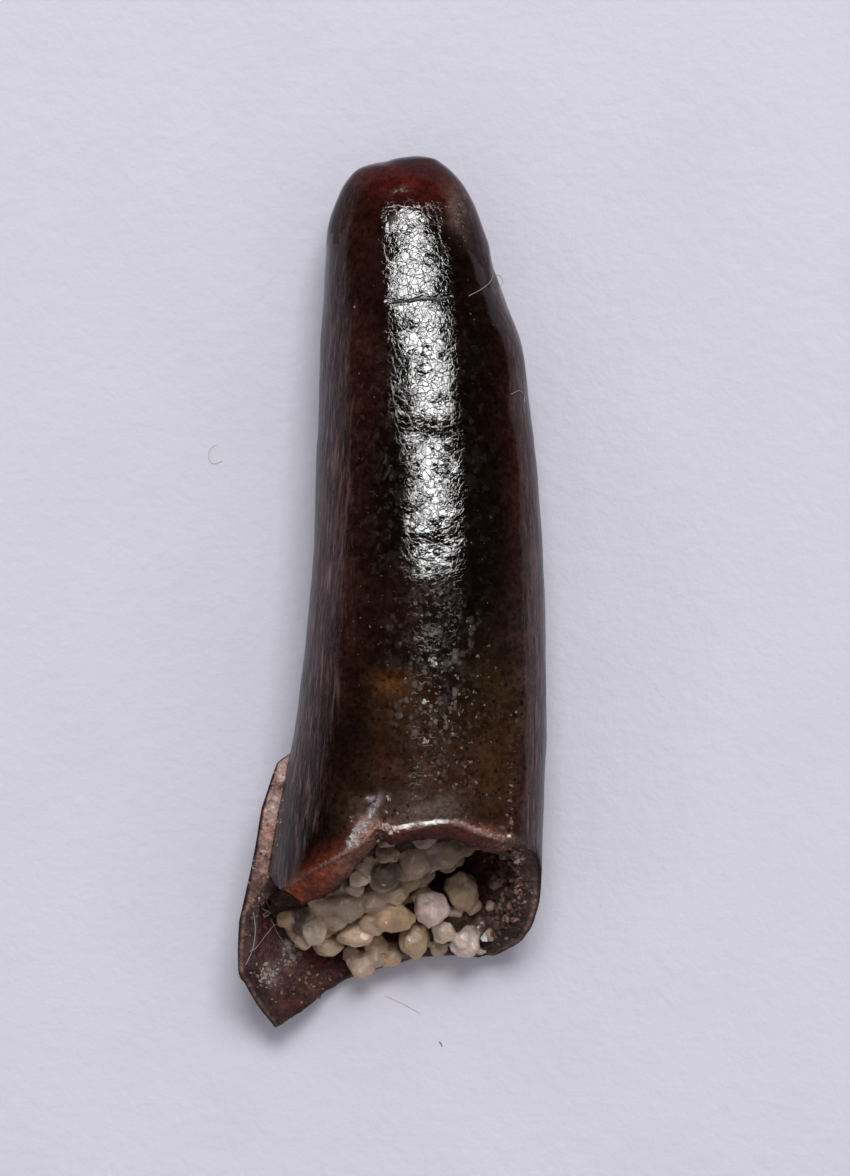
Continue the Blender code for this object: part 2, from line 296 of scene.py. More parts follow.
def pushed_out(angles, y):
    """How far the wall below the crack stands out to the left."""
    by_y = np.interp(-y, [-row[0] for row in PUSHED_OUT], [row[1] for row in PUSHED_OUT])
    by_angle = np.clip((angles - CRACK_FROM) / (CRACK_TO - CRACK_FROM), 0, 1)
    return by_y * by_angle * (angles <= BELOW_CROWN)


def outer_wall(angles, y):
    """Points on the crown's outside, with the underside flattened where it rests."""
    middle_x, middle_z, half_x, half_z = crown_section(y)
    x = middle_x + (half_x + pushed_out(angles, y)) * np.cos(angles)
    z = middle_z + half_z * np.sin(angles)
    return np.stack([x, y, np.maximum(z, FLOOR)], axis=1)


def wall_thickness(angles):
    extra = np.where(np.cos(angles) > 0, WALL_EXTRA_RIGHT, WALL_EXTRA_LEFT)
    return WALL + extra * np.cos(angles) ** 2


def hollow_wall(angles, y, inset=0.0):
    """Points on the wall of the hollow, or this far inside it."""
    middle_x, middle_z, half_x, half_z = crown_section(y)
    depth = np.clip((y - HOLLOW_NARROWS_FROM) / (HOLLOW_END - HOLLOW_NARROWS_FROM), 0, 1)
    narrowing = np.sqrt(1 - depth**2)
    wall = wall_thickness(angles)
    across = np.maximum((half_x + pushed_out(angles, y) - wall) * narrowing - inset, 0)
    upright = np.maximum((half_z - wall) * narrowing - inset, 0)
    x = middle_x + across * np.cos(angles)
    z = middle_z + upright * np.sin(angles)
    return np.stack([x, y, z], axis=1)


def broken_edge(angles):
    """The y of the broken edge at each angle, on the outside and on the inside."""
    degrees = np.degrees(angles)
    knots, outside, beyond = np.array(BROKEN_EDGE).T
    edge = np.interp(degrees, knots, outside)
    return edge, edge - np.interp(degrees, knots, beyond)


def column_angles():
    """Even angles round the crown, with a column on each corner of the edge and more in the crack."""
    angles = np.linspace(0, 360, COLUMNS, endpoint=False)
    for corner in EDGE_CORNERS:
        angles[np.argmin(abs(angles - corner))] = corner
    crack = np.linspace(math.degrees(CRACK_FROM), math.degrees(CRACK_TO), CRACK_COLUMNS + 2)
    return np.radians(np.unique(np.concatenate([angles, crack])))


def along(start, end, count):
    """The places after the start and up to the end, in this many even steps."""
    return [start + (end - start) * step / count for step in range(1, count + 1)]


def level(angles, y):
    return np.full(len(angles), float(y))


def soft_step(value, low, high):
    """0 below low, 1 above high and a smooth rise between."""
    t = np.clip((value - low) / (high - low), 0, 1)
    return t * t * (3 - 2 * t)


def noise_at(points, scale, octaves, seed):
    """Fractal noise from about -1 to 1 at each point."""
    shift = Vector((17.3 * seed, -9.1 * seed, 5.7 * seed))
    made = [noise.fractal(Vector(p) * scale + shift, 1.0, 2.0, octaves) for p in points]
    return np.array(made)


def blobs_at(points, blobs):
    """How strongly soft spots, each with its middle x and y, two radii and a strength, reach each point."""
    total = np.zeros(len(points))
    for x, y, across, length, strength in blobs:
        away = ((points[:, 0] - x) / across) ** 2 + ((points[:, 1] - y) / length) ** 2
        total = np.maximum(total, strength * np.exp(-away))
    return total


# Relief of the outside. The lip runs between two places in degrees round the crown, with a gap at one x.
ROLL_HEIGHT = 0.016
ROLL_SCALE = 0.9
RIPPLE_HEIGHT = 0.0012
RIPPLE_SCALE = 3.2
LIP_HEIGHT = 0.030
LIP_FROM_EDGE = 0.055
LIP_WIDTH = 0.075
LIP_GAP = (0.57, 0.13)
LIP_RISES, LIP_FALLS = (40, 62), (98, 106)
LIP_DULL_LEFT, LIP_DULL_RIGHT = (-0.12, 0.02), (1.30, 1.55)
LIP_DULL_WIDTH = 0.14
SHOULDER_HEIGHT, SHOULDER_AT, SHOULDER_WIDTH = 0.10, 26.0, 18.0
SHOULDER_FADES = (5.5, 9.2)
RESTING_BELOW = 0.02
EDGE_ROUGHNESS = 0.045
EDGE_JAG = 0.035
HOLLOW_ROUGHNESS = 0.060
LEDGE_ROUGHNESS = 0.040

# Dents and ridges near the tip: middle x and y, two radii and the depth or height
DENTS_ABOVE = 1.0
TIP_DENTS = (
    (-0.16, 9.90, 0.14, 0.12, 0.025),
    (1.62, 8.75, 0.30, 0.50, 0.02),
    (2.36, 7.30, 0.12, 0.55, 0.03),
)
TIP_RIDGES = (
    (2.18, 7.80, 0.05, 0.45, 0.02),
    (2.40, 7.10, 0.05, 0.35, 0.02),
)

# Shallow step across the top, with a wavering line: the y and how far the surface stands out
STEP_WAVER = 0.06
STEP_FROM_SIDE = (0.4, 0.8)
TOP_STEP = (
    (10.0, 0.0),
    (4.9, 0.0),
    (4.12, 0.012),
    (3.98, 0.012),
    (3.56, -0.024),
    (0.62, 0.036),
    (-4.5, 0.0),
    (-9.0, 0.0),
)

# Colours of the tooth and of what clings to it
ENAMEL = (0.0042, 0.0018, 0.0013)
RED = (0.060, 0.0085, 0.0060)
MAROON = (0.030, 0.0085, 0.0060)
BROWN = (0.024, 0.0080, 0.0055)
AMBER_GLOW = (0.040, 0.0150, 0.0055)
OLIVE_GLOW = (0.034, 0.017, 0.0065)
EMBER = (0.150, 0.026, 0.010)
DUST = (0.120, 0.080, 0.066)
SCUFF = (0.16, 0.095, 0.075)
CHIP_PINK = (0.26, 0.115, 0.080)
CHIP_WHITE = (0.62, 0.58, 0.58)
CHIP_LILAC = (0.42, 0.36, 0.38)
CREAM_LINE = (0.70, 0.60, 0.50)
# Near-white of a painted glint: a highlight painted on a glassy grain as a chip
PAINTED_GLINT = (0.90, 0.89, 0.92)
PURPLE = (0.112, 0.032, 0.030)
CRIMSON = (0.150, 0.020, 0.025)
SEDIMENT = (0.34, 0.27, 0.24)
LEDGE_PINK = (0.48, 0.255, 0.215)
LEDGE_PALE = (0.66, 0.50, 0.45)
DARK_RED = (0.075, 0.018, 0.014)

# Soft spots of colour: middle x and y, radii across and along, turn in degrees, strength and colour
OUTSIDE_GLOWS = (
    (0.10, 9.45, 1.30, 0.48, 0, 1.1, RED),
    (1.10, 9.20, 0.80, 0.60, 0, 0.7, RED),
    (-0.95, 8.60, 0.50, 0.80, 0, 0.6, MAROON),
    (-0.70, 7.80, 0.50, 1.20, 0, 0.5, MAROON),
    (-0.80, 5.00, 0.60, 1.70, 0, 0.85, MAROON),
    (-1.35, 1.20, 0.50, 2.60, -4, 1.0, MAROON),
    (-1.10, 0.40, 0.50, 1.60, -6, 0.9, BROWN),
    (-1.10, -1.40, 0.60, 1.30, -6, 0.8, BROWN),
    (0.30, -0.20, 0.80, 1.00, 0, 0.45, BROWN),
    (-1.95, -2.60, 0.50, 2.40, -8, 0.6, MAROON),
    (2.20, 7.60, 0.40, 1.20, 10, 0.7, BROWN),
    (2.90, 2.50, 0.35, 6.00, 4, 0.8, MAROON),
    (2.95, -3.00, 0.40, 3.50, 0, 0.9, (0.045, 0.024, 0.023)),
    (0.35, -2.60, 0.85, 0.80, 0, 0.9, AMBER_GLOW),
    (0.00, -2.05, 0.40, 0.28, 0, 0.9, (0.085, 0.030, 0.009)),
    (2.30, -2.40, 0.70, 1.20, 0, 0.8, OLIVE_GLOW),
    (2.30, -4.20, 0.70, 1.20, 0, 1.0, AMBER_GLOW),
    (0.85, -4.10, 1.50, 0.90, 0, 0.9, (0.048, 0.020, 0.011)),
    (-0.75, -4.80, 0.42, 0.40, 20, 1.0, OLIVE_GLOW),
    (-1.20, -6.00, 1.00, 0.36, 38, 0.9, (0.110, 0.024, 0.012)),
    (-1.85, -6.62, 0.50, 0.26, 25, 1.2, (0.210, 0.042, 0.012)),
    (-1.30, -6.22, 0.12, 0.10, 0, 0.8, (0.045, 0.012, 0.009)),
    (-1.62, -6.30, 0.14, 0.08, 30, 0.8, (0.050, 0.013, 0.009)),
    (-0.98, -5.92, 0.10, 0.14, 0, 0.7, (0.050, 0.014, 0.010)),
    (-1.95, -6.48, 0.10, 0.08, 0, 0.7, (0.070, 0.016, 0.009)),
    (-1.45, -6.46, 0.16, 0.07, 35, 0.8, (0.300, 0.080, 0.024)),
    (-2.10, -6.72, 0.18, 0.10, 10, 0.9, (0.420, 0.125, 0.026)),
    (-0.05, -5.30, 0.46, 0.20, 0, 0.9, (0.110, 0.040, 0.026)),
    (-0.46, -5.42, 0.40, 0.30, -20, 1.2, CHIP_PINK),
    (-0.74, -5.66, 0.26, 0.18, 30, 1.2, CHIP_PINK),
    (-0.78, -5.42, 0.060, 0.30, -37, 1.2, CHIP_LILAC),
    (-0.92, -5.62, 0.090, 0.09, 0, 1.1, CHIP_LILAC),
    (-0.39, -4.82, 0.070, 0.20, -30, 1.1, CHIP_LILAC),
    (-0.52, -4.64, 0.060, 0.06, 0, 0.9, CHIP_LILAC),
    (-0.62, -5.28, 0.070, 0.12, -30, 0.9, CHIP_LILAC),
    (-0.10, -4.62, 0.100, 0.07, 0, 0.7, SCUFF),
    (0.20, -5.55, 0.40, 0.16, 0, 0.9, EMBER),
    (1.10, -5.30, 1.20, 0.14, 0, 0.7, EMBER),
    (2.15, -5.45, 0.50, 0.16, -18, 0.9, CHIP_PINK),
    (0.98, -4.90, 0.42, 0.26, 12, 0.9, DUST),
    (0.60, -4.95, 1.10, 0.40, 0, 0.5, DUST),
    (1.45, 8.70, 0.22, 0.50, 12, 0.55, SCUFF),
    (0.22, 9.12, 0.20, 0.05, 8, 0.9, SCUFF),
)

# Colours along the broken face: degrees round the crown, then colour on the outside and on the inside
BREAK_COLOURS = (
    (0, (0.110, 0.068, 0.058), (0.080, 0.046, 0.040)),
    (20, (0.130, 0.075, 0.058), (0.090, 0.045, 0.036)),
    (40, (0.190, 0.085, 0.055), (0.100, 0.038, 0.028)),
    (60, (0.150, 0.036, 0.020), (0.055, 0.016, 0.011)),
    (95, (0.170, 0.036, 0.019), (0.060, 0.015, 0.010)),
    (106, (0.200, 0.080, 0.050), (0.090, 0.034, 0.024)),
    (118, (0.260, 0.110, 0.075), (0.120, 0.050, 0.040)),
    (126, (0.200, 0.034, 0.010), (0.090, 0.026, 0.018)),
    (140, (0.210, 0.036, 0.010), (0.130, 0.034, 0.020)),
    (146, (0.260, 0.050, 0.011), (0.190, 0.040, 0.014)),
    (150, (0.500, 0.140, 0.020), (0.360, 0.090, 0.018)),
    (153, (0.560, 0.180, 0.028), (0.420, 0.120, 0.022)),
    (158, (0.110, 0.040, 0.026), (0.070, 0.026, 0.018)),
    (184, (0.090, 0.050, 0.046), (0.075, 0.042, 0.040)),
    (190, (0.060, 0.034, 0.036), (0.085, 0.042, 0.042)),
    (206, (0.050, 0.024, 0.027), (0.090, 0.035, 0.036)),
    (222, (0.140, 0.060, 0.040), (0.090, 0.036, 0.034)),
    (240, (0.110, 0.070, 0.045), (0.050, 0.028, 0.028)),
    (300, (0.110, 0.060, 0.045), (0.050, 0.028, 0.028)),
    (340, (0.090, 0.050, 0.042), (0.060, 0.034, 0.033)),
    (360, (0.110, 0.068, 0.058), (0.080, 0.046, 0.040)),
)
RIM_LINE = (0.26, 0.15, 0.11)

HOLLOW_GLOWS = (
    (-2.95, -9.25, 0.30, 0.30, 0, 0.8, CRIMSON),
    (-2.90, -8.10, 0.14, 0.40, -42, 0.9, (0.150, 0.048, 0.048)),
    (-2.83, -8.75, 0.30, 0.28, 0, 0.75, SEDIMENT),
    (-2.35, -8.20, 0.22, 0.36, 20, 0.55, SEDIMENT),
    (-1.90, -8.80, 0.60, 0.30, 30, 0.5, (0.060, 0.044, 0.030)),
    (2.90, -6.15, 0.14, 0.22, 0, 0.9, (0.30, 0.20, 0.15)),
    (2.85, -6.65, 0.12, 0.20, 0, 0.7, SEDIMENT),
    (2.95, -7.10, 0.14, 0.30, 0, 0.6, (0.25, 0.12, 0.10)),
    (2.40, -6.90, 0.50, 0.60, 0, 0.45, (0.130, 0.055, 0.048)),
    (2.50, -7.70, 0.40, 0.30, 0, 0.5, (0.080, 0.042, 0.040)),
)
LEDGE_GLOWS = (
    (-2.53, -3.98, 0.12, 0.14, 0, 1.0, LEDGE_PALE),
    (-2.56, -4.22, 0.10, 0.14, 0, 0.9, LEDGE_PALE),
    (-2.52, -4.42, 0.30, 0.07, 0, 0.9, DARK_RED),
    (-2.66, -4.86, 0.20, 0.34, 0, 0.9, LEDGE_PALE),
    (-2.95, -5.95, 0.10, 0.30, 0, 0.6, LEDGE_PALE),
    (-2.84, -6.02, 0.07, 0.08, 0, 1.0, (0.030, 0.010, 0.010)),
    (-3.00, -7.10, 0.60, 0.90, 0, 0.85, (0.120, 0.066, 0.060)),
    (-3.20, -8.20, 0.60, 0.90, 0, 0.9, PURPLE),
)
PAINT_WARP = 0.09

# The crinkled strip: the y, its middle x, and how far each side of it the crinkles reach
CRINKLED = (
    (10.0, 0.50, 0.66),
    (8.8, 0.53, 0.68),
    (4.4, 0.74, 0.70),
    (2.8, 0.96, 0.62),
    (-10.0, 1.02, 0.66),
)
CRINKLES_END = (8.70, 8.95)

# The enamel on the sides and round the tip is duller. It counts as a side below this upward share of its
# facing, and there as tip from this y on.
SIDE_BELOW_LEFT, SIDE_BELOW_RIGHT = 0.857, 0.780
TIP_FROM_LEFT, TIP_FROM_RIGHT = 8.4, 7.4

# A flank with its dust and streaks begins at one sideways share of the angle round the crown and is full
# at another. It fades towards the tip between two places along the crown, and over the ember spots.
# The rose colour of the dust is partly real dust and partly painted sheen.
FLANK_LEFT, FLANK_RIGHT = (0.56, 0.86), (0.78, 0.92)
FLANK_FADES = (4.5, 9.0)
EMBERS = ((-1.35, -6.20, 1.20, 0.60, 1.0), (-0.20, -5.40, 0.60, 0.40, 1.0))

# The height from which a point is on the crown's upper half, and the share of the way over the ledge
# from which it is in shade
UPPER_HALF = 1.5
LEDGE_SHADE_FROM = 0.86


def paint(colours, points, glows):
    """Blends soft spots over the colours, with edges that waver."""
    warp = np.stack([noise_at(points, 2.5, 3, 11), noise_at(points, 2.5, 3, 12)], axis=1) * PAINT_WARP
    x, y = (points[:, :2] + warp).T
    for middle_x, middle_y, across, length, turn, strength, colour in glows:
        c, s = math.cos(math.radians(turn)), math.sin(math.radians(turn))
        u = ((x - middle_x) * c + (y - middle_y) * s) / across
        v = ((y - middle_y) * c - (x - middle_x) * s) / length
        share = np.clip(strength * np.exp(-(u**2 + v**2)), 0, 1)[:, None]
        colours = colours + (np.array(colour) - colours) * share
    return colours


def break_colours(angle, across):
    """Colours of the broken face at each angle and each share of the way to the inside."""
    knots = [row[0] for row in BREAK_COLOURS]
    ends = []
    for side in (1, 2):
        channels = np.array([row[side] for row in BREAK_COLOURS]).T
        ends.append(np.stack([np.interp(np.degrees(angle), knots, channel) for channel in channels], 1))
    return ends[0] + (ends[1] - ends[0]) * across[:, None]


# Where the outside has flecks, and where it is rough: middle x and y, two radii and a strength
FLECK_SPOTS = (
    (0.95, -1.00, 1.05, 1.20, 0.95),
    (1.05, -2.60, 1.15, 1.20, 0.85),
    (1.10, -4.20, 1.20, 0.80, 0.60),
    (1.55, 8.75, 0.30, 0.60, 0.90),
    (-0.72, -5.00, 0.26, 0.40, 0.80),
    (2.70, -4.50, 0.10, 1.20, 0.80),
    (0.40, 3.00, 1.60, 3.50, 0.42),
)
ROUGH_SPOTS = (
    (-0.50, -5.45, 0.36, 0.30, 1.0),
    (-0.80, -5.72, 0.20, 0.16, 1.0),
    (1.50, 8.72, 0.20, 0.50, 0.5),
)


def crown_rows(angles):
    """Every ring of the crown, and for each the kind of surface: 0 outside, 1 broken edge, 2 hollow."""
    outside, inside = broken_edge(angles)
    jag = EDGE_JAG * noise_at(np.stack([np.cos(angles), np.sin(angles), 0 * angles], 1) * 9, 1, 3, 1)
    outside, inside = outside + jag, inside + 0.6 * jag
    tip = curve_through(KNOTS, ROWS, np.array(along(0, TIP_LENGTH, TIP_ROWS)))[:, 0]
    count = round((tip[-1] - LEVEL_END) / LEVEL_ROW_PITCH)
    rings, kinds = [], []
    for y in (*tip, *along(tip[-1], LEVEL_END, count)):
        rings.append(outer_wall(angles, level(angles, y)))
    rings += [outer_wall(angles, y) for y in along(level(angles, LEVEL_END), outside, BASE_ROWS)]
    kinds += [0] * len(rings)
    outer, inner = rings[-1], hollow_wall(angles, inside)
    rings += [outer + (inner - outer) * share for share in along(0, 1, EDGE_ROWS)]
    kinds += [1] * EDGE_ROWS
    narrows_from = level(angles, HOLLOW_NARROWS_FROM)
    rings += [hollow_wall(angles, y) for y in along(inside, narrows_from, HOLLOW_ROWS)]
    for quarter in along(0, math.pi / 2, HOLLOW_END_ROWS)[:-1]:
        y = HOLLOW_NARROWS_FROM + (HOLLOW_END - HOLLOW_NARROWS_FROM) * math.sin(quarter)
        rings.append(hollow_wall(angles, level(angles, y)))
    kinds += [2] * (len(rings) - len(kinds))
    return rings, kinds


def skin_faces(rows, columns):
    """Faces of a closed skin: a point, rings of one count, and a last point."""
    around = np.arange(columns)
    before = np.roll(around, 1)
    first = 1 + around[None, :] + columns * np.arange(rows - 1)[:, None]
    back = 1 + before[None, :] + columns * np.arange(rows - 1)[:, None]
    quads = np.stack([back, first, first + columns, back + columns], axis=-1).reshape(-1, 4)
    last_row = 1 + columns * (rows - 1)
    last = 1 + columns * rows
    start = [(0, int(1 + i), int(1 + j)) for i, j in zip(around, before)]
    end = [(int(last), int(last_row + j), int(last_row + i)) for i, j in zip(around, before)]
    return [tuple(int(v) for v in quad) for quad in quads] + start + end


def new_mesh(name, points, faces):
    mesh = bpy.data.meshes.new(name)
    mesh.from_pydata((points * MM).tolist(), [], faces)
    mesh.validate()
    return mesh


def outward(mesh):
    """Turns every face of a closed mesh outwards."""
    shape = bmesh.new()
    shape.from_mesh(mesh)
    bmesh.ops.recalc_face_normals(shape, faces=shape.faces)
    shape.to_mesh(mesh)
    shape.free()


def normals_of(mesh):
    normals = np.empty(len(mesh.vertices) * 3, np.float32)
    mesh.vertex_normals.foreach_get("vector", normals)
    return normals.reshape(-1, 3).astype(float)


def move_to(mesh, points):
    mesh.vertices.foreach_set("co", (points * MM).astype(np.float32).ravel())
    mesh.update()


def add_values(mesh, **values):
    """Per-vertex numbers that the materials read by name."""
    for name, numbers in values.items():
        attribute = mesh.attributes.new(name, "FLOAT", "POINT")
        attribute.data.foreach_set("value", np.asarray(numbers, np.float32))


def add_tints(mesh, tints):
    attribute = mesh.attributes.new("tint", "FLOAT_COLOR", "POINT")
    colours = np.concatenate([tints, np.ones((len(tints), 1))], axis=1)
    attribute.data.foreach_set("color", colours.astype(np.float32).ravel())


def new_piece(mesh, *materials, smooth=True):
    piece = bpy.data.objects.new(mesh.name, mesh)
    bpy.context.scene.collection.objects.link(piece)
    for material in materials:
        mesh.materials.append(material)
    mesh.polygons.foreach_set("use_smooth", [smooth] * len(mesh.polygons))
    return piece


def lip_gap(x):
    """1 in the gap of the lip, 0 away from it."""
    return np.exp(-(((x - LIP_GAP[0]) / LIP_GAP[1]) ** 2))


def outside_relief(points, angles, from_edge):
    """How far the outside stands out along its normal: rolling, ripples, dents, a step and the lip."""
    relief = ROLL_HEIGHT * noise_at(points, ROLL_SCALE, 2, 2)
    relief += RIPPLE_HEIGHT * noise_at(points, RIPPLE_SCALE, 3, 3)
    on_top = points[:, 2] > DENTS_ABOVE
    relief -= on_top * blobs_at(points, TIP_DENTS)
    relief += on_top * blobs_at(points, TIP_RIDGES)
    waver = STEP_WAVER * noise_at(points, 1.8, 3, 8)
    knots, heights = np.array(TOP_STEP)[::-1].T
    relief += soft_step(np.sin(angles), *STEP_FROM_SIDE) * np.interp(points[:, 1] + waver, knots, heights)
    degrees = np.degrees(angles)
    round_right = (degrees + 180) % 360 - 180
    shoulder = np.exp(-(((round_right - SHOULDER_AT) / SHOULDER_WIDTH) ** 2))
    relief += SHOULDER_HEIGHT * shoulder * (1 - soft_step(points[:, 1], *SHOULDER_FADES))
    over_lip = soft_step(degrees, *LIP_RISES) * (1 - soft_step(degrees, *LIP_FALLS))
    uneven = 0.75 + 0.6 * noise_at(points, 2.0, 2, 9)
    uneven *= 1 - 0.85 * lip_gap(points[:, 0])
    relief += over_lip * uneven * LIP_HEIGHT * np.exp(-(((from_edge - LIP_FROM_EDGE) / LIP_WIDTH) ** 2))
    return relief


def crown_tints(points, angle, ring, first_edge, outside, edge, hollow, ledge):
    """The colour of each point of the crown."""
    tint = np.zeros((len(points), 3))
    painted = (
        (outside, ENAMEL, OUTSIDE_GLOWS),
        (ledge, LEDGE_PINK, LEDGE_GLOWS),
        (hollow, PURPLE, HOLLOW_GLOWS),
    )
    for where, base, glows in painted:
        tint[where] = paint(np.tile(np.array(base), (where.sum(), 1)), points[where], glows)
    over_ledge = np.clip((angle - CRACK_FROM) / (CRACK_TO - CRACK_FROM), 0, 1)
    # The ledge's outer rim is painted dark red: painted shade
    tint[ledge & (over_ledge > LEDGE_SHADE_FROM)] = DARK_RED
    across = np.clip((ring - first_edge + 1) / EDGE_ROWS, 0, 1)
    tint[edge] = break_colours(angle[edge], across[edge])
    tint[edge & (np.sin(angle) < 0) & (ring <= first_edge)] = RIM_LINE
    return tint


def crown_values(points, angle, from_edge, outside):
    """How crinkled, rough, streaked with dust and painted sheen, flecked and pitted each point of the crown
    is.
    """
    x, y, upper = points[:, 0], points[:, 1], outside * (points[:, 2] > UPPER_HALF)
    dull = lip_gap(x) + soft_step(x, *LIP_DULL_RIGHT) + soft_step(-x, *LIP_DULL_LEFT)
    dull = np.clip(dull + 0.5 * noise_at(points, 5.0, 3, 22) + 0.25, 0, 1)
    near_edge = dull * np.exp(-((np.maximum(from_edge, 0) / LIP_DULL_WIDTH) ** 2)) * (np.sin(angle) > 0)
    fade = 1 - soft_step(y, *FLANK_FADES)
    aside = np.cos(angle) + 0.05 * noise_at(points * (1, 0.35, 1), 2.5, 4, 19)
    flank = np.maximum(soft_step(aside, *FLANK_RIGHT), soft_step(-aside, *FLANK_LEFT))
    knots, middles, reaches = np.array(CRINKLED)[::-1].T
    off = abs(x - np.interp(y, knots, middles)) + 0.12 * noise_at(points, 4.0, 3, 17)
    in_strip = 1 - soft_step(off / np.interp(y, knots, reaches), 0.85, 1.20)
    below_tip = 1 - soft_step(y + 0.1 * noise_at(points, 2.0, 2, 21), *CRINKLES_END)
    return {
        "crinkle": upper * in_strip * below_tip,
        "rough": np.maximum(outside * near_edge, upper * blobs_at(points, ROUGH_SPOTS)),
        "flank": flank * outside * (1 - blobs_at(points, EMBERS)) * (0.25 + 0.75 * fade),
        "fleck": upper * blobs_at(points, FLECK_SPOTS),
        "pits": upper * soft_step(-y, 0.0, 2.5),
    }


def crown_stuff(points, angle, normals, bare):
    """Which material each point of the crown has: 0 enamel on top, 1 on a side, 2 by the tip, 3 dentine."""
    right = np.cos(angle) > 0
    tip_from = np.where(right, TIP_FROM_RIGHT, TIP_FROM_LEFT) + 0.9 * noise_at(points, 1.3, 4, 15)
    side = np.where(points[:, 1] > tip_from, 2, 1)
    upward = normals[:, 2] + 0.10 * noise_at(points * (1, 0.35, 1), 2.5, 4, 18)
    below = np.where(right, SIDE_BELOW_RIGHT, SIDE_BELOW_LEFT)
    return np.where(bare, 3, np.where(upward < below, side, 0))


def build_crown(*materials):
    """The whole crown as one skin: outside, broken edge, crack ledge and hollow. Returns its surface."""
    angles = column_angles()
    rings, kinds = crown_rows(angles)
    tip_y, tip_x, _, tip_z, _ = CROWN[0]
    hollow_end = hollow_wall(angles, level(angles, HOLLOW_END))[0]
    points = np.vstack([[(tip_x, tip_y, tip_z)], *rings, [hollow_end]])
    kind = np.concatenate([[0], np.repeat(kinds, len(angles)), [2]])
    ring = np.concatenate([[0], np.repeat(np.arange(len(rings)), len(angles)), [len(rings)]])
    angle = np.concatenate([[math.pi / 2], np.tile(angles, len(rings)), [0]])
    faces = skin_faces(len(rings), len(angles))
    mesh = new_mesh("tooth_crown", points, faces)
    outward(mesh)

    outside, edge, hollow = kind == 0, kind == 1, kind == 2
    from_edge = points[:, 1] - np.interp(angle, angles, broken_edge(angles)[0])
    in_crack = (angle > CRACK_FROM) & (angle < CRACK_TO) & (points[:, 1] < PUSHED_OUT[0][0])
    ledge = in_crack & outside
    relief = np.zeros(len(points))
    relief[outside] = outside_relief(points[outside], angle[outside], from_edge[outside])
    rough = noise_at(points, 6.0, 4, 4)
    lumps = noise_at(points, 3.0, 3, 16)
    relief += edge * EDGE_ROUGHNESS * rough + hollow * HOLLOW_ROUGHNESS * (rough + lumps)
    relief += ledge * LEDGE_ROUGHNESS * rough
    relief[(points[:, 2] < RESTING_BELOW) & outside] = 0
    normals = normals_of(mesh)
    moved = points + normals * relief[:, None]
    moved[:, 2] = np.maximum(moved[:, 2], FLOOR)
    move_to(mesh, moved)

    add_tints(mesh, crown_tints(points, angle, ring, kinds.index(1), outside, edge, hollow, ledge))
    add_values(mesh, **crown_values(points, angle, from_edge, outside))
    crown = new_piece(mesh, *materials)
    stuff = crown_stuff(points, angle, normals, edge | hollow | ledge)
    mesh.polygons.foreach_set("material_index", [int(max(stuff[v] for v in face)) for face in faces])
    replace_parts(crown, "tooth")
    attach(crown, "root")
    return BVHTree.FromPolygons(moved.tolist(), faces)


def front_of_plug(angles, share):
    """Points on the sand's open front, this share of the way from the wall to the middle."""
    knots, front = np.array(PLUG_FRONT).T
    edge = hollow_wall(angles, np.interp(np.degrees(angles), knots, front), GAP)
    ring = edge + (np.array(PLUG_MIDDLE) - edge) * share
    ring[:, 1] += PLUG_RECESS * soft_step(np.full(len(angles), share), 0, 0.3)
    ring[:, 1] -= PLUG_BULGE * math.sin(math.pi * share)
    return ring


def build_plug(material):
    """The packed sand behind the big grains, rough on its open front."""
    angles = np.linspace(0, math.tau, PLUG_COLUMNS, endpoint=False)
    deep, wide = level(angles, 0.0), level(angles, HOLLOW_NARROWS_FROM)
    edge_y = front_of_plug(angles, 0.0)[:, 1]
    places = [deep, *along(deep, wide, PLUG_DEEP_ROWS), *along(wide, edge_y, PLUG_OPEN_ROWS)]
    rings = [hollow_wall(angles, y, GAP) for y in places]
    rings += [front_of_plug(angles, share) for share in along(0, 1, PLUG_FRONT_ROWS)[:-1]]
    deep_x, _, deep_z = rings[0].mean(axis=0)
    middle = front_of_plug(angles, 1.0)[0]
    points = np.vstack([[(deep_x, PLUG_END, deep_z)], *rings, [middle]])
    mesh = new_mesh("sand_plug_body", points, skin_faces(len(rings), len(angles)))
    outward(mesh)
    lumps = 0.10 * noise_at(points, 2.2, 3, 5) + 0.05 * noise_at(points, 7.0, 2, 6) - 0.05
    move_to(mesh, points + normals_of(mesh) * lumps[:, None])
    plug = new_piece(mesh, material)
    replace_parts(plug, "sand_plug")
    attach(plug, "root")


def turned(points, angle):
    """The points turned about the upright axis."""
    c, s = math.cos(angle), math.sin(angle)
    return points @ np.array([[c, s, 0], [-s, c, 0], [0, 0, 1]])


def in_unit_box(points):
    low, high = points.min(axis=0), points.max(axis=0)
    return (points - (low + high) / 2) / (high - low)


def points_and_faces(shape):
    """The points and faces of a bmesh, which is freed."""
    points = np.array([v.co[:] for v in shape.verts])
    faces = [[v.index for v in f.verts] for f in shape.faces]
    shape.free()
    return points, faces


def grain_shape(seed, detail, facets=8, uneven=0.20):
    """Points, in a unit box, and faces of one worn grain with a few flattened sides."""
    ball = bmesh.new()
    bmesh.ops.create_icosphere(ball, subdivisions=detail, radius=0.5)
    points, faces = points_and_faces(ball)
    draw = np.random.default_rng(seed)
    for _ in range(facets):
        way = draw.normal(size=3)
        way /= np.linalg.norm(way)
        over = points @ way - draw.uniform(0.32, 0.44)
        points = points - np.maximum(over, 0)[:, None] * way * 0.85
    points = points * (1 + uneven * noise_at(points, 2.2, 2, seed % 97)[:, None])
    points = points * (1 + 0.25 * uneven * noise_at(points, 7.0, 2, seed % 89)[:, None])
    return in_unit_box(turned(points, draw.uniform(0, math.tau))), np.array(faces)


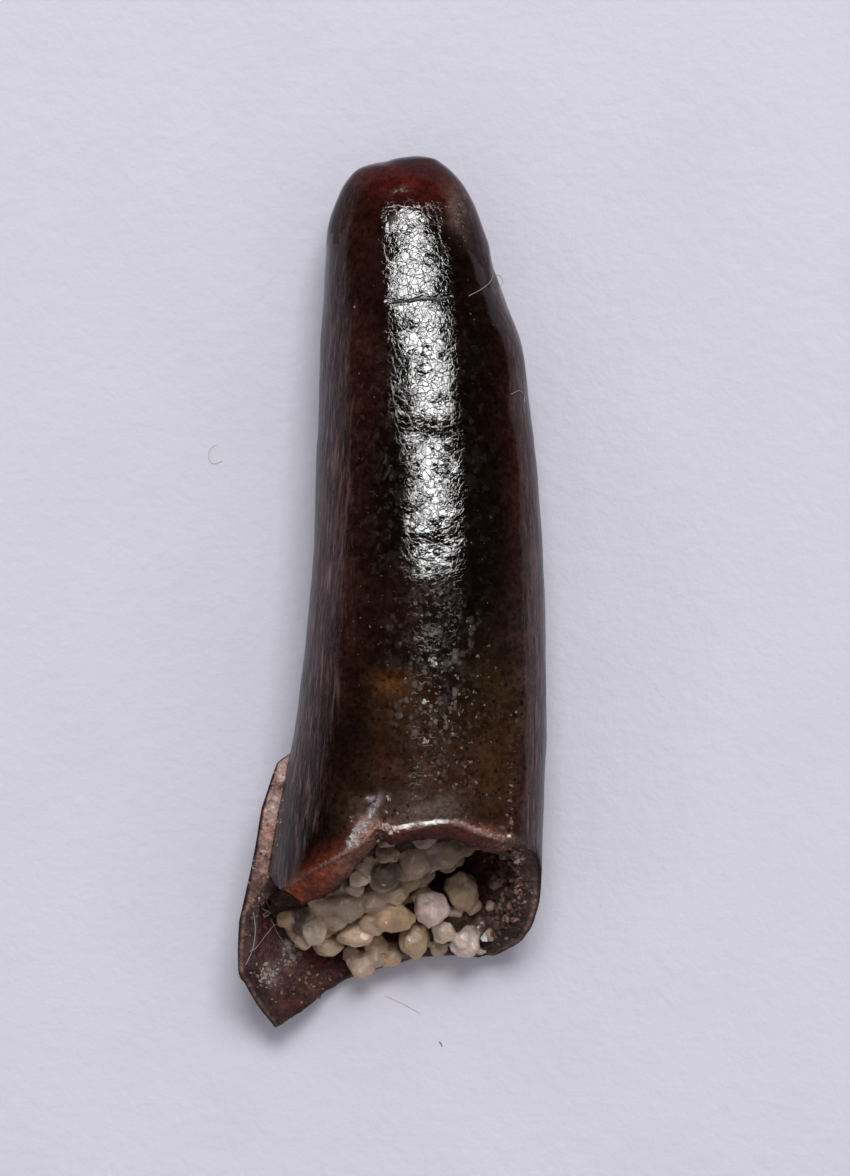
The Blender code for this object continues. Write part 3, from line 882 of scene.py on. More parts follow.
def join_shapes(shapes):
    """One set of points, faces and tints from many."""
    starts = np.cumsum([0] + [len(points) for points, _, _ in shapes[:-1]])
    points = np.vstack([points for points, _, _ in shapes])
    faces = np.vstack([faces + start for (_, faces, _), start in zip(shapes, starts)]).tolist()
    tints = np.vstack([np.tile(tint, (len(points), 1)) for points, _, tint in shapes])
    return points, faces, tints


def finish_grains(name, points, faces, tints, material, smooth=True):
    mesh = new_mesh(name, points, faces)
    add_tints(mesh, tints)
    piece = new_piece(mesh, material, smooth=smooth)
    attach(piece, "root")
    return piece


def fused(name, points, faces):
    """Points and faces of one smoothed skin round shapes that cut into each other."""
    loose = bpy.data.meshes.new(name)
    loose.from_pydata(points.tolist(), [], faces)
    source = bpy.data.objects.new(name, loose)
    bpy.context.scene.collection.objects.link(source)
    remesh = source.modifiers.new("fuse", "REMESH")
    remesh.mode = "VOXEL"
    remesh.voxel_size = CLUMP_VOXEL
    bpy.context.view_layer.update()
    skin = bpy.data.meshes.new_from_object(source.evaluated_get(bpy.context.evaluated_depsgraph_get()))
    bpy.data.objects.remove(source)
    shape = bmesh.new()
    shape.from_mesh(skin)
    every_axis = {"use_axis_x": True, "use_axis_y": True, "use_axis_z": True}
    for _ in range(CLUMP_SMOOTHINGS):
        bmesh.ops.smooth_vert(shape, verts=shape.verts, factor=0.5, **every_axis)
    return points_and_faces(shape)


def build_clump(name, rows, seed, material):
    """Grains grown together into one mass, with each grain's own tint over its part of the surface."""
    draw = np.random.default_rng(seed)
    shapes = []
    for number, row in enumerate(rows):
        points, faces = grain_shape(seed + number, 3, uneven=CLUMP_UNEVEN)
        points = GRAIN_SWELL * points * row[3:6] + row[:3]
        shapes.append((points, faces, np.array(row[6]) * draw.uniform(0.85, 1.15)))
    points, faces, _ = join_shapes(shapes)
    points, faces = fused(name + "_loose", points, faces)
    middles = np.array([row[:3] for row in rows])
    sizes = np.array([row[3:6] for row in rows]) / 2
    away = np.linalg.norm((points[:, None, :] - middles) / sizes, axis=2)
    weights = np.exp(-TINT_SHARPNESS * (away - away.min(axis=1)[:, None]))
    tints = weights @ np.array([tint for _, _, tint in shapes]) / weights.sum(axis=1)[:, None]
    return finish_grains(name, points, faces, tints, material)


def fill_rows(count, seed):
    """Rows for smaller grains that cover the packed sand's front between the big ones."""
    draw = np.random.default_rng(seed)
    rows = []
    for _ in range(count):
        angle = np.array([draw.uniform(0, math.tau)])
        x, y, z = front_of_plug(angle, draw.uniform(0.14, 0.95))[0]
        size = draw.uniform(0.34, 0.72)
        # Grains under the lip take the darkened tints: painted shade
        tints = FILL_OPEN_TINTS if y < FILL_OPEN_BEYOND else FILL_SHADED_TINTS
        tint = tints[draw.integers(len(tints))]
        rows.append((x, y - 0.05, z, size, size * draw.uniform(0.8, 1.2), size * 0.9, tint))
    return rows


def settle(ground, x, y):
    """Where a straight drop onto the tooth lands, and the facing there."""
    place, facing, _, _ = ground.ray_cast(Vector((x, y, DROP_FROM)), Vector((0, 0, -1)))
    return place, facing


def crumb_shape(seed):
    return grain_shape(seed, 2, facets=5, uneven=0.42)


def wall_crumb_shape(seed):
    return grain_shape(seed, 3, uneven=0.3)


def shard_shape(seed):
    """Points, in a unit box, and faces of a thin broken plate with a smaller, uneven top."""
    draw = np.random.default_rng(seed)
    corners = int(draw.integers(5, 9))
    turns = (np.arange(corners) + draw.uniform(-0.4, 0.4, corners)) * math.tau / corners
    rim = np.stack([np.cos(turns), np.sin(turns)], axis=1) * draw.uniform(0.45, 1.0, corners)[:, None]
    under = np.column_stack([rim, np.zeros(corners)])
    over = np.column_stack([rim * draw.uniform(0.5, 0.9), 1 - draw.uniform(0, 0.4, corners)])
    points = np.vstack([[(0, 0, 0)], under, over, [(0.1, 0.1, 1.0)]])
    faces = np.array([(f[0], a, b) for f in skin_faces(2, corners) for a, b in zip(f[1:], f[2:])])
    return in_unit_box(points), faces


def lying_grains(name, rows, seed, shape_of, ground, material, smooth=False, tilt=0.0):
    """Separate crumbs or shards that lie on whatever is under them, each tilted a little its own way."""
    draw = np.random.default_rng(seed)
    shapes = []
    for number, (x, y, across, length, height, turn, sunk, tint) in enumerate(rows):
        lean = Vector(tilt * draw.normal(size=3))
        place, facing = settle(ground, x, y)
        if place is None:
            continue
        points, faces = shape_of(seed + number)
        points = points * (across, length, height) + (0, 0, height * (0.5 - sunk))
        upright = np.array((facing + lean).to_track_quat("Z", "Y").to_matrix())
        points = turned(points, math.radians(turn)) @ upright.T + np.array(place)
        shapes.append((points, faces, np.array(tint)))
    finish_grains(name, *join_shapes(shapes), material, smooth)


def strewn(spots, seed):
    """Rows of crumbs strewn round each spot: its middle, radii, how many, sizes, flatness and tints."""
    draw = np.random.default_rng(seed)
    rows = []
    for x, y, across, length, count, small, large, flat, tints in spots:
        for _ in range(count):
            size = draw.uniform(small, large)
            where = (x + across * draw.normal(), y + length * draw.normal())
            tint = np.array(tints[draw.integers(len(tints))]) * draw.uniform(0.75, 1.25)
            narrow, turn = draw.uniform(0.4, 1.0), draw.uniform(0, 360)
            rows.append((*where, size * narrow, size, size * flat, turn, CRUMB_SUNK, tint))
    return rows


# How high crumbs drop from, how deep crumbs and shards are sunk, and how high a shard is
DROP_FROM = 20
CRUMB_SUNK = 0.40
SHARD_HEIGHT, SHARD_SUNK = 0.022, 0.3

# Where crumbs and flakes are strewn: middle x and y, radii, how many, sizes, flatness and tints
CRUMB_SPOTS = (
    (-2.83, -8.72, 0.15, 0.15, 90, 0.03, 0.09, 0.7, (PALE_SEDIMENT, PALE_SEDIMENT, SEDIMENT, DIM)),
    (-2.35, -8.20, 0.12, 0.20, 60, 0.04, 0.11, 0.7, (PALE_SEDIMENT, SEDIMENT, DIM)),
    (-1.50, -8.95, 0.50, 0.18, 60, 0.04, 0.13, 0.7, (DIM, DARK, DARK_CRUMB)),
    (-2.20, -9.00, 0.40, 0.30, 60, 0.03, 0.09, 0.7, (DARK, DARK_CRUMB, DIM)),
    (-3.05, -6.90, 0.14, 0.70, 90, 0.03, 0.08, 0.7, (SEDIMENT, DARK_CRUMB, DARK, DARK)),
    (-2.62, -4.80, 0.10, 0.60, 40, 0.03, 0.07, 0.6, (SEDIMENT, LEDGE_PINK)),
    (2.62, -6.80, 0.22, 0.55, 170, 0.05, 0.17, 0.8, (DARK, DARK_CRUMB, DARK_CRUMB, PURPLE, ROSE_CRUMB)),
    (2.82, -6.15, 0.09, 0.16, 30, 0.05, 0.14, 0.7, (ROSE_CRUMB, SEDIMENT, TAN_CRUMB)),
    (2.90, -6.90, 0.06, 0.40, 40, 0.04, 0.12, 0.7, (ROSE_CRUMB, TAN_CRUMB, DARK_CRUMB)),
    (2.40, -7.50, 0.25, 0.30, 70, 0.04, 0.14, 0.8, (DARK, DARK_CRUMB, PURPLE)),
    (2.55, -6.95, 0.13, 0.42, 34, 0.16, 0.30, 0.8, (DARK, DARK_CRUMB, PURPLE, ROSE_CRUMB)),
    (1.60, -8.15, 0.80, 0.10, 50, 0.03, 0.09, 0.7, (DARK, DIM, ROSE_CRUMB)),
    (-0.30, -8.55, 0.40, 0.10, 24, 0.04, 0.10, 0.7, (DIM, SEDIMENT)),
)
FLAKE_SPOTS = (
    (1.05, -0.60, 0.38, 0.60, 34, 0.04, 0.11, 0.12, (FLAKE_GREY, FLAKE_DIM, FLAKE_DIM)),
    (1.20, -2.10, 0.50, 0.70, 44, 0.04, 0.12, 0.12, (FLAKE_GREY, FLAKE_DIM, FLAKE_DIM)),
    (1.30, -3.60, 0.55, 0.50, 40, 0.04, 0.12, 0.12, (FLAKE_GREY, FLAKE_DIM, FLAKE_DIM)),
    (-0.30, -0.90, 0.50, 0.70, 20, 0.03, 0.08, 0.12, (FLAKE_DIM,)),
    (2.70, -4.00, 0.05, 0.90, 12, 0.03, 0.09, 0.20, (FLAKE_GREY, FLAKE_DIM)),
    (0.70, -5.00, 0.60, 0.22, 30, 0.03, 0.10, 0.15, (FLAKE_GREY, FLAKE_DIM, DUST)),
    (1.50, 8.70, 0.14, 0.32, 40, 0.03, 0.10, 0.15, (SCUFF, FLAKE_DIM, FLAKE_DIM)),
    (-0.55, -5.40, 0.20, 0.18, 30, 0.05, 0.14, 0.15, (CHIP_PINK, CHIP_PINK, FLAKE_GREY)),
    (1.70, 2.00, 0.60, 3.00, 40, 0.02, 0.06, 0.12, (FLAKE_DIM,)),
    (-0.60, 3.00, 0.50, 3.50, 30, 0.02, 0.06, 0.12, (FLAKE_DIM,)),
)
# Streaks of bright shards: the places each runs through, how wide, how many shards, their sizes and tints
WHITE_TINTS = (CHIP_WHITE, FLAKE_PALE)
MIXED_TINTS = (CHIP_WHITE, FLAKE_PALE, FLAKE_GREY)
SHARD_STREAKS = (
    (((-0.98, -5.70), (-0.84, -5.52), (-0.72, -5.34), (-0.60, -5.18)), 0.025, 34, 0.08, 0.24, WHITE_TINTS),
    (((-0.94, -5.66), (-0.80, -5.58)), 0.04, 10, 0.08, 0.18, WHITE_TINTS),
    (((-0.46, -5.02), (-0.38, -4.86), (-0.28, -4.70)), 0.025, 14, 0.10, 0.26, MIXED_TINTS),
    (((-0.84, -5.34), (-0.88, -5.10)), 0.03, 6, 0.04, 0.10, (FLAKE_PALE, SCUFF)),
    (((-0.10, -4.66), (0.02, -4.58)), 0.03, 6, 0.07, 0.15, (FLAKE_PALE, FLAKE_GREY)),
    (((-0.36, -5.30), (-0.30, -5.50)), 0.04, 8, 0.07, 0.15, (CHIP_PINK, SCUFF)),
    (((0.88, -1.46), (0.98, -1.60)), 0.04, 9, 0.07, 0.16, WHITE_TINTS),
    (((0.66, -2.50), (0.84, -2.44)), 0.02, 6, 0.06, 0.15, WHITE_TINTS),
    (((0.70, -3.38), (0.84, -3.30)), 0.03, 7, 0.07, 0.16, MIXED_TINTS),
    (((0.96, -0.06), (1.18, 0.02)), 0.02, 6, 0.05, 0.12, (FLAKE_PALE, FLAKE_GREY)),
    (((2.70, -5.50), (2.71, -5.05)), 0.015, 8, 0.05, 0.18, (FLAKE_PALE, FLAKE_GREY, SCUFF)),
    (((2.70, -4.70), (2.71, -4.30)), 0.012, 6, 0.05, 0.16, (FLAKE_GREY, SCUFF)),
    (((0.06, 9.12), (0.36, 9.17)), 0.02, 8, 0.04, 0.12, (SCUFF, FLAKE_GREY)),
)
# Single bright chips: middle x and y, width, length, height, turn, how deep each is sunk, and tint
CHIPS = (
    (-0.54, -4.63, 0.09, 0.07, 0.03, 20, 0.3, CHIP_WHITE),
    (-0.12, -4.95, 0.06, 0.11, 0.03, 10, 0.3, FLAKE_PALE),
    (0.13, -4.98, 0.06, 0.08, 0.03, 40, 0.3, FLAKE_PALE),
    (-0.02, -5.43, 0.11, 0.11, 0.08, 0, 0.3, CREAM_LINE),
    (0.00, -5.32, 0.07, 0.06, 0.06, 0, 0.3, TAN_CRUMB),
    (0.15, -5.40, 0.06, 0.06, 0.05, 30, 0.3, CREAM_LINE),
    (-0.32, -5.62, 0.06, 0.16, 0.05, 40, 0.3, FLAKE_PALE),
    (2.66, -5.52, 0.12, 0.13, 0.07, 0, 0.3, CREAM_LINE),
    # This near-white chip is a painted glint, a highlight painted on the glassy grain
    (2.24, -7.84, 0.20, 0.24, 0.30, -30, 0.1, PAINTED_GLINT),
    (-0.85, 6.50, 0.07, 0.06, 0.03, 0, 0.3, FLAKE_PALE),
    (0.84, 6.52, 0.07, 0.06, 0.03, 60, 0.3, FLAKE_GREY),
    (2.54, 7.00, 0.04, 0.18, 0.02, 0, 0.3, FLAKE_DIM),
)
# Crumbs on the open wall: middle x and y, width, length, height, turn, how deep each is sunk, and tint
WALL_CRUMBS = (
    (2.28, -7.16, 0.26, 0.26, 0.22, 0, 0.35, PINK),
    (2.53, -7.18, 0.26, 0.22, 0.20, 30, 0.40, DIM_MAUVE),
    (2.42, -6.68, 0.40, 0.36, 0.28, 60, 0.50, DIM_MAUVE),
    (2.56, -6.42, 0.32, 0.26, 0.24, 20, 0.50, DARK),
    (2.72, -6.85, 0.26, 0.30, 0.20, 50, 0.50, DARK),
    (2.28, -7.86, 0.34, 0.30, 0.24, 30, 0.40, GREY),
    (2.42, -7.62, 0.24, 0.26, 0.18, 0, 0.50, DARK),
    (2.02, -8.20, 0.30, 0.20, 0.20, 0, 0.40, PINK),
    (2.66, -7.45, 0.26, 0.20, 0.18, 45, 0.50, DIM_MAUVE),
    (2.86, -6.08, 0.22, 0.18, 0.12, 70, 0.40, PINK),
    (-2.42, -8.02, 0.16, 0.20, 0.14, 0, 0.40, PALE_SEDIMENT),
    (-2.30, -8.36, 0.18, 0.14, 0.12, 30, 0.40, PALE_SEDIMENT),
    (-2.14, -8.28, 0.12, 0.18, 0.12, 0, 0.40, DIM),
)


def shard_rows(streaks, seed):
    """Rows of shards strewn along each streak, most of them lengthwise."""
    draw = np.random.default_rng(seed)
    rows = []
    for places, spread, count, small, large, tints in streaks:
        line = smooth_line(places)
        for _ in range(count):
            at = int(draw.integers(len(line) - 1))
            way = line[at + 1] - line[at]
            where = line[at] + spread * draw.normal(size=2)
            turn = math.degrees(math.atan2(way[1], way[0])) - 90 + 35 * draw.normal()
            length = draw.uniform(small, large)
            tint = np.array(tints[draw.integers(len(tints))]) * draw.uniform(0.6, 1.1)
            width = length * draw.uniform(0.25, 0.6)
            rows.append((*where, width, length, SHARD_HEIGHT, turn, SHARD_SUNK, tint))
    return rows


# Lint: how thick, how far above the tooth, and the places it runs through
LINT = (
    (0.010, 0.10, ((-3.26, -7.02), (-2.96, -7.22), (-2.74, -7.34), (-2.62, -7.42), (-2.56, -7.54))),
    (0.008, 0.16, ((-2.96, -6.86), (-2.80, -7.20), (-2.64, -7.40), (-2.60, -7.58), (-2.70, -7.60))),
    (0.009, 0.12, ((-2.62, -7.02), (-2.72, -7.20), (-2.84, -7.38), (-2.94, -7.36), (-2.80, -7.26))),
    (0.008, 0.12, ((-2.78, -7.46), (-2.70, -7.62), (-2.62, -7.80), (-2.50, -8.00))),
    (0.009, 0.08, ((-3.16, -7.30), (-3.12, -7.62), (-3.14, -7.95), (-3.20, -8.20), (-3.34, -8.50))),
    (0.008, 0.10, ((-2.70, -7.60), (-2.90, -7.85), (-3.10, -8.10), (-3.25, -8.20))),
    (0.007, 0.04, ((2.30, 7.22), (2.46, 7.30), (2.54, 7.18), (2.48, 7.04))),
    (0.007, 0.04, ((1.75, 6.75), (2.02, 6.90), (2.22, 7.06), (2.30, 7.22))),
    (0.007, 0.03, ((2.72, 4.52), (2.90, 4.60), (3.02, 4.48), (3.02, 4.34))),
)
LINT_BESIDE = 0.5
LINT_GREY = (0.30, 0.26, 0.26)

# Fibres on the paper: how thick, the places each runs through, and the tint
PAPER_FIBRES = (
    (0.012, ((-4.05, 3.42), (-4.20, 3.30), (-4.22, 3.08), (-4.10, 2.98), (-3.92, 3.04)), (0.55, 0.48, 0.50)),
    (0.012, ((-0.16, -9.28), (0.20, -9.44), (0.46, -9.58), (0.64, -9.68)), (0.66, 0.55, 0.59)),
    (0.014, ((1.08, -10.34), (1.12, -10.38), (1.15, -10.45)), (0.18, 0.15, 0.15)),
)
FIBRE_SIDES = 6


def smooth_line(corners, steps=10):
    """Points on a smooth line through the corners."""
    knots = np.arange(len(corners), dtype=float)
    at = np.linspace(0, len(corners) - 1, (len(corners) - 1) * steps + 1)
    return curve_through(knots, np.array(corners, float), at)


def fibre_shape(line, radius):
    """Points and faces of a closed round tube along a line."""
    ways = np.gradient(line, axis=0)
    ways /= np.linalg.norm(ways, axis=1)[:, None]
    side = np.cross(ways, (0.3, 0.2, 0.93))
    side /= np.linalg.norm(side, axis=1)[:, None]
    up = np.cross(side, ways)
    turns = np.linspace(0, math.tau, FIBRE_SIDES, endpoint=False)
    rings = []
    for middle, across, over in zip(line, side, up):
        rings.append(middle + radius * (np.outer(np.cos(turns), across) + np.outer(np.sin(turns), over)))
    points = np.vstack([[line[0]], *rings, [line[-1]]])
    return points, skin_faces(len(rings), FIBRE_SIDES)


def build_lint(ground, material):
    """Hairs that hang over the tooth, and beyond its edge at the height of the open wall."""
    all_points, all_faces, start = [], [], 0
    for radius, lift, corners in LINT:
        raised = []
        for x, y in corners:
            place, _ = settle(ground, x, y)
            raised.append((x, y, (place.z if place else LINT_BESIDE) + lift))
        points, faces = fibre_shape(smooth_line(raised), radius)
        all_points.append(points)
        all_faces += [tuple(v + start for v in face) for face in faces]
        start += len(points)
    mesh = new_mesh("lint", np.vstack(all_points), all_faces)
    outward(mesh)
    lint = new_piece(mesh, material)
    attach(lint, "root")


def build_paper_fibres():
    """Stray fibres that lie on the paper."""
    for number, (radius, corners, tint) in enumerate(PAPER_FIBRES):
        line = smooth_line([(x, y, radius * 0.8) for x, y in corners])
        points, faces = fibre_shape(line, radius)
        mesh = new_mesh(f"paper_fibre_{number}", points, faces)
        outward(mesh)
        new_piece(mesh, fibre_material(f"fibre_{number}", tint))


def new_node(tree, kind, **settings):
    made = tree.nodes.new(kind)
    for name, value in settings.items():
        setattr(made, name, value)
    return made


def feed(tree, socket, value):
    """Sets a socket to a number or colour, or links it to another node's output."""
    if isinstance(value, bpy.types.NodeSocket):
        tree.links.new(value, socket)
    elif isinstance(value, tuple) and socket.type == "RGBA":
        socket.default_value = (*value, 1)
    else:
        socket.default_value = value


def fill(tree, node, values):
    """Feeds a node's inputs by their names."""
    for name, value in values.items():
        feed(tree, node.inputs[name], value)


def maths(tree, operation, *values):
    made = new_node(tree, "ShaderNodeMath", operation=operation)
    for socket, value in zip(made.inputs, values):
        feed(tree, socket, value)
    return made.outputs[0]


def times(tree, first, *others):
    """All the values multiplied."""
    for other in others:
        first = maths(tree, "MULTIPLY", first, other)
    return first


def inverse(tree, value):
    return maths(tree, "SUBTRACT", 1.0, value)


def blended(tree, kind, share, one, two):
    """A share of the way from one to the other, where both are of the kind Float or Color."""
    made = new_node(tree, "ShaderNodeMix", data_type={"Float": "FLOAT", "Color": "RGBA"}[kind])
    sockets = {socket.identifier: socket for socket in made.inputs}
    feed(tree, sockets["Factor_Float"], share)
    feed(tree, sockets[f"A_{kind}"], one)
    feed(tree, sockets[f"B_{kind}"], two)
    return next(s for s in made.outputs if s.identifier == f"Result_{kind}")


def mix(tree, share, one, two):
    return blended(tree, "Color", share, one, two)


def blend_numbers(tree, share, one, two):
    return blended(tree, "Float", share, one, two)


def rise(tree, value, low, high):
    """0 at low, 1 at high and a smooth rise between."""
    made = new_node(tree, "ShaderNodeMapRange", interpolation_type="SMOOTHSTEP")
    fill(tree, made, {"Value": value, "From Min": low, "From Max": high})
    return made.outputs[0]


def vectors(tree, operation, one, two):
    made = new_node(tree, "ShaderNodeVectorMath", operation=operation)
    feed(tree, made.inputs[0], one)
    feed(tree, made.inputs["Scale"] if operation == "SCALE" else made.inputs[1], two)
    return made.outputs["Value"] if operation == "DOT_PRODUCT" else made.outputs[0]


def parts_of(tree, vector):
    """The X, Y and Z of a place, or a colour's channels by the same names."""
    made = new_node(tree, "ShaderNodeSeparateXYZ")
    tree.links.new(vector, made.inputs[0])
    return made.outputs


def millimetres(tree, stretch=(1, 1, 1)):
    """The object's own coordinates in millimetres, stretched along an axis by a number under 1."""
    place = new_node(tree, "ShaderNodeTexCoord")
    made = new_node(tree, "ShaderNodeMapping")
    fill(tree, made, {"Vector": place.outputs["Object"], "Scale": [value / MM for value in stretch]})
    return made.outputs[0]


def noise_of(tree, where, scale, detail=3.0, roughness=0.55, distortion=0.0, output="Fac"):
    made = new_node(tree, "ShaderNodeTexNoise")
    fill(tree, made, {"Vector": where, "Scale": scale, "Detail": detail})
    fill(tree, made, {"Roughness": roughness, "Distortion": distortion})
    return made.outputs[output]


def patches(tree, where, noise, low, high):
    """1 in patches of noise and 0 between them. The noise has a scale, detail, roughness and distortion."""
    return rise(tree, noise_of(tree, where, *noise), low, high)


def tinted(tree, where, patch, share, colour, other):
    """The colour with this share of another one over patches of it."""
    return mix(tree, times(tree, patches(tree, where, *patch), share), colour, other)


def cells_of(tree, where, scale, feature="F1"):
    """The outputs of a pattern of cells."""
    made = new_node(tree, "ShaderNodeTexVoronoi", feature=feature)
    fill(tree, made, {"Vector": where, "Scale": scale})
    return made.outputs


def value_of(tree, name):
    """A number that each point of the mesh has under this name."""
    return new_node(tree, "ShaderNodeAttribute", attribute_name=name).outputs["Fac"]


def tint_of(tree):
    return new_node(tree, "ShaderNodeAttribute", attribute_name="tint").outputs["Color"]


def bump(tree, height, distance, strength=1.0, normal=None):
    """A bump of this many millimetres for a height of 0 to 1."""
    made = new_node(tree, "ShaderNodeBump")
    fill(tree, made, {"Height": height, "Strength": strength, "Distance": distance * MM})
    if normal is not None:
        tree.links.new(normal, made.inputs["Normal"])
    return made.outputs[0]


def new_material(name):
    material = bpy.data.materials.new(name)
    material.use_nodes = True
    tree = material.node_tree
    return material, tree, tree.nodes["Principled BSDF"]


# Colours inside the materials, and the groove across the crown: its y, slope and width
ENAMEL_BLACK = (0.0030, 0.0016, 0.0013)
FLECK_GREY = (0.150, 0.122, 0.110)
PLATE_GREY = (0.185, 0.150, 0.138)
SMUDGE = (0.050, 0.039, 0.035)
# Rose colour on the flanks: partly real dust and partly painted sheen
ROSE_DUST_AND_SHEEN = (0.250, 0.125, 0.130)
DENTINE_SPOT = (0.030, 0.012, 0.010)
DENTINE_CRUST = (0.26, 0.155, 0.130)
QUARTZ_DEEP = (0.27, 0.19, 0.14)
QUARTZ_STAIN = (0.20, 0.105, 0.065)
SPECK_BROWN = (0.09, 0.05, 0.04)
SAND_DARK, SAND_PALE = (0.034, 0.018, 0.013), (0.125, 0.070, 0.048)
SAND_CLOUD = (0.055, 0.034, 0.024)
PAPER_DARK, PAPER_PALE = (0.700, 0.685, 0.785), (0.745, 0.730, 0.825)
GROOVE_Y, GROOVE_SLOPE, GROOVE_WIDTH = 6.62, 0.045, 0.085

# Grey plates on the enamel: how many cells to the millimetre, and the least chance number that shows one
PLATE_CELLS = ((9.0, 0.76), (5.5, 0.80))

# Crinkles: cells to the millimetre of the facets, the same with a width for the creases, and the roughness
# of the crinkled strip and of the groove in it
WIDE_FACETS, LARGE_FACETS, SMALL_FACETS = 5.0, 3.0, 7.0
COARSE_CREASES, FINE_CREASES = (3.0, 0.045), (7.0, 0.09)
STRIP_ROUGHNESS, GROOVE_ROUGHNESS = 0.095, 0.45


def groove(tree, where):
    """1 in a fine wavering groove across the crown, 0 away from it."""
    parts = parts_of(tree, where)
    waver = times(tree, noise_of(tree, where, 1.6, 4.0), 0.5)
    line = maths(tree, "ADD", times(tree, parts["X"], GROOVE_SLOPE), GROOVE_Y - 0.25)
    line = maths(tree, "ADD", line, waver)
    away = maths(tree, "ABSOLUTE", maths(tree, "SUBTRACT", parts["Y"], line))
    return inverse(tree, rise(tree, away, 0.0, GROOVE_WIDTH))


def wandering(tree, where, scale):
    """The places pushed about by noise, so that cells of this scale get uneven outlines."""
    wander = noise_of(tree, where, scale * 0.9, roughness=0.5, output="Color")
    return vectors(tree, "ADD", where, vectors(tree, "SCALE", wander, 1.3 / scale))


def creases(tree, where, scale, width):
    """1 in the fine creases between uneven cells, 0 inside them."""
    edge = cells_of(tree, wandering(tree, where, scale), scale, "DISTANCE_TO_EDGE")["Distance"]
    return inverse(tree, rise(tree, edge, 0.0, width))


def facets(tree, where, scale):
    """Height of uneven cells that are each tilted their own way, and a random colour for each cell."""
    places = wandering(tree, where, scale)
    cells = cells_of(tree, places, scale)
    across = vectors(tree, "SUBTRACT", places, cells["Position"])
    tilt = vectors(tree, "SUBTRACT", cells["Color"], (0.5, 0.5, 0.5))
    return vectors(tree, "DOT_PRODUCT", across, tilt), cells["Color"]


def shaded_tint(tree, where, fine, low, high):
    """The tint of each place, with broad and fine shading."""
    broad = patches(tree, where, (1.7, 4.0, 0.6), 0.30, 0.70)
    shade = times(tree, blend_numbers(tree, broad, 0.65, 1.30), blend_numbers(tree, fine, low, high))
    return vectors(tree, "SCALE", tint_of(tree), shade)


def pits_of(tree, where, scale, low, high):
    """1 in round pits, one to a cell, and 0 between them."""
    return inverse(tree, rise(tree, cells_of(tree, where, scale)["Distance"], low, high))


def plated(tree, where, amount, colour):
    """The colour with thin grey plates strewn over it."""
    thick = rise(tree, amount, 0.20, 0.90)
    for scale, least in PLATE_CELLS:
        cells = cells_of(tree, where, scale)
        chance = parts_of(tree, cells["Color"])
        shown = rise(tree, chance["X"], least, least + 0.06)
        inside = rise(tree, cells["Distance"], 0.60, 0.36)
        paleness = blend_numbers(tree, chance["Y"], 0.10, 0.80)
        colour = mix(tree, times(tree, shown, inside, paleness, thick), colour, PLATE_GREY)
    return colour


def enamel_colour(tree, where, fine, flank, crinkled):
    """Dark enamel with pits, smudges, grey flecks and plates, and with dust on its flanks whose rose colour
    is partly painted sheen.
    """
    colour = shaded_tint(tree, where, fine, 0.62, 1.42)
    large, small = pits_of(tree, where, 2.3, 0.05, 0.22), pits_of(tree, where, 5.0, 0.08, 0.26)
    pits = maths(tree, "MAXIMUM", large, small)
    colour = mix(tree, times(tree, pits, value_of(tree, "pits"), 0.85), colour, ENAMEL_BLACK)
    amount = value_of(tree, "fleck")
    smudges = patches(tree, where, (3.4, 4.0, 0.6, 0.6), 0.50, 0.64)
    colour = mix(tree, times(tree, smudges, amount, 0.6), colour, SMUDGE)
    flecks = patches(tree, where, (5.5, 4.0, 0.6, 0.4), 0.57, 0.66)
    colour = mix(tree, times(tree, flecks, amount, 0.5), colour, FLECK_GREY)
    if crinkled:
        colour = plated(tree, where, amount, colour)
    # Rose streaks on the flanks: partly dust, partly painted sheen
    dust_and_sheen = patches(tree, millimetres(tree, (1, 0.10, 1)), (8.0, 4.0, 0.7), 0.48, 0.70)
    return mix(tree, times(tree, dust_and_sheen, flank, 0.60), colour, ROSE_DUST_AND_SHEEN)


def crinkles(tree, where, lower, crinkle, crack, strength, normal):
    """Facets that are each tilted their own way, with fine creases between them and a groove across."""
    upper = rise(tree, parts_of(tree, where)["Y"], 2.5, 5.5)
    wide, _ = facets(tree, millimetres(tree, (0.55, 1, 1)), WIDE_FACETS)
    large, _ = facets(tree, where, LARGE_FACETS)
    small, _ = facets(tree, where, SMALL_FACETS)
    facet = maths(tree, "ADD", blend_numbers(tree, upper, wide, large), times(tree, small, 0.75))
    strength = times(tree, strength, blend_numbers(tree, crinkle, 0.10, 1.0))
    normal = bump(tree, facet, 0.14, strength, normal)
    coarse, fine = creases(tree, where, *COARSE_CREASES), creases(tree, where, *FINE_CREASES)
    lines = times(tree, maths(tree, "MAXIMUM", coarse, fine), crinkle, lower)
    dips = maths(tree, "ADD", times(tree, crack, blend_numbers(tree, crinkle, 1.5, 9.0)), lines)
    return bump(tree, times(tree, dips, -1.0), 0.0030, 1.0, normal)


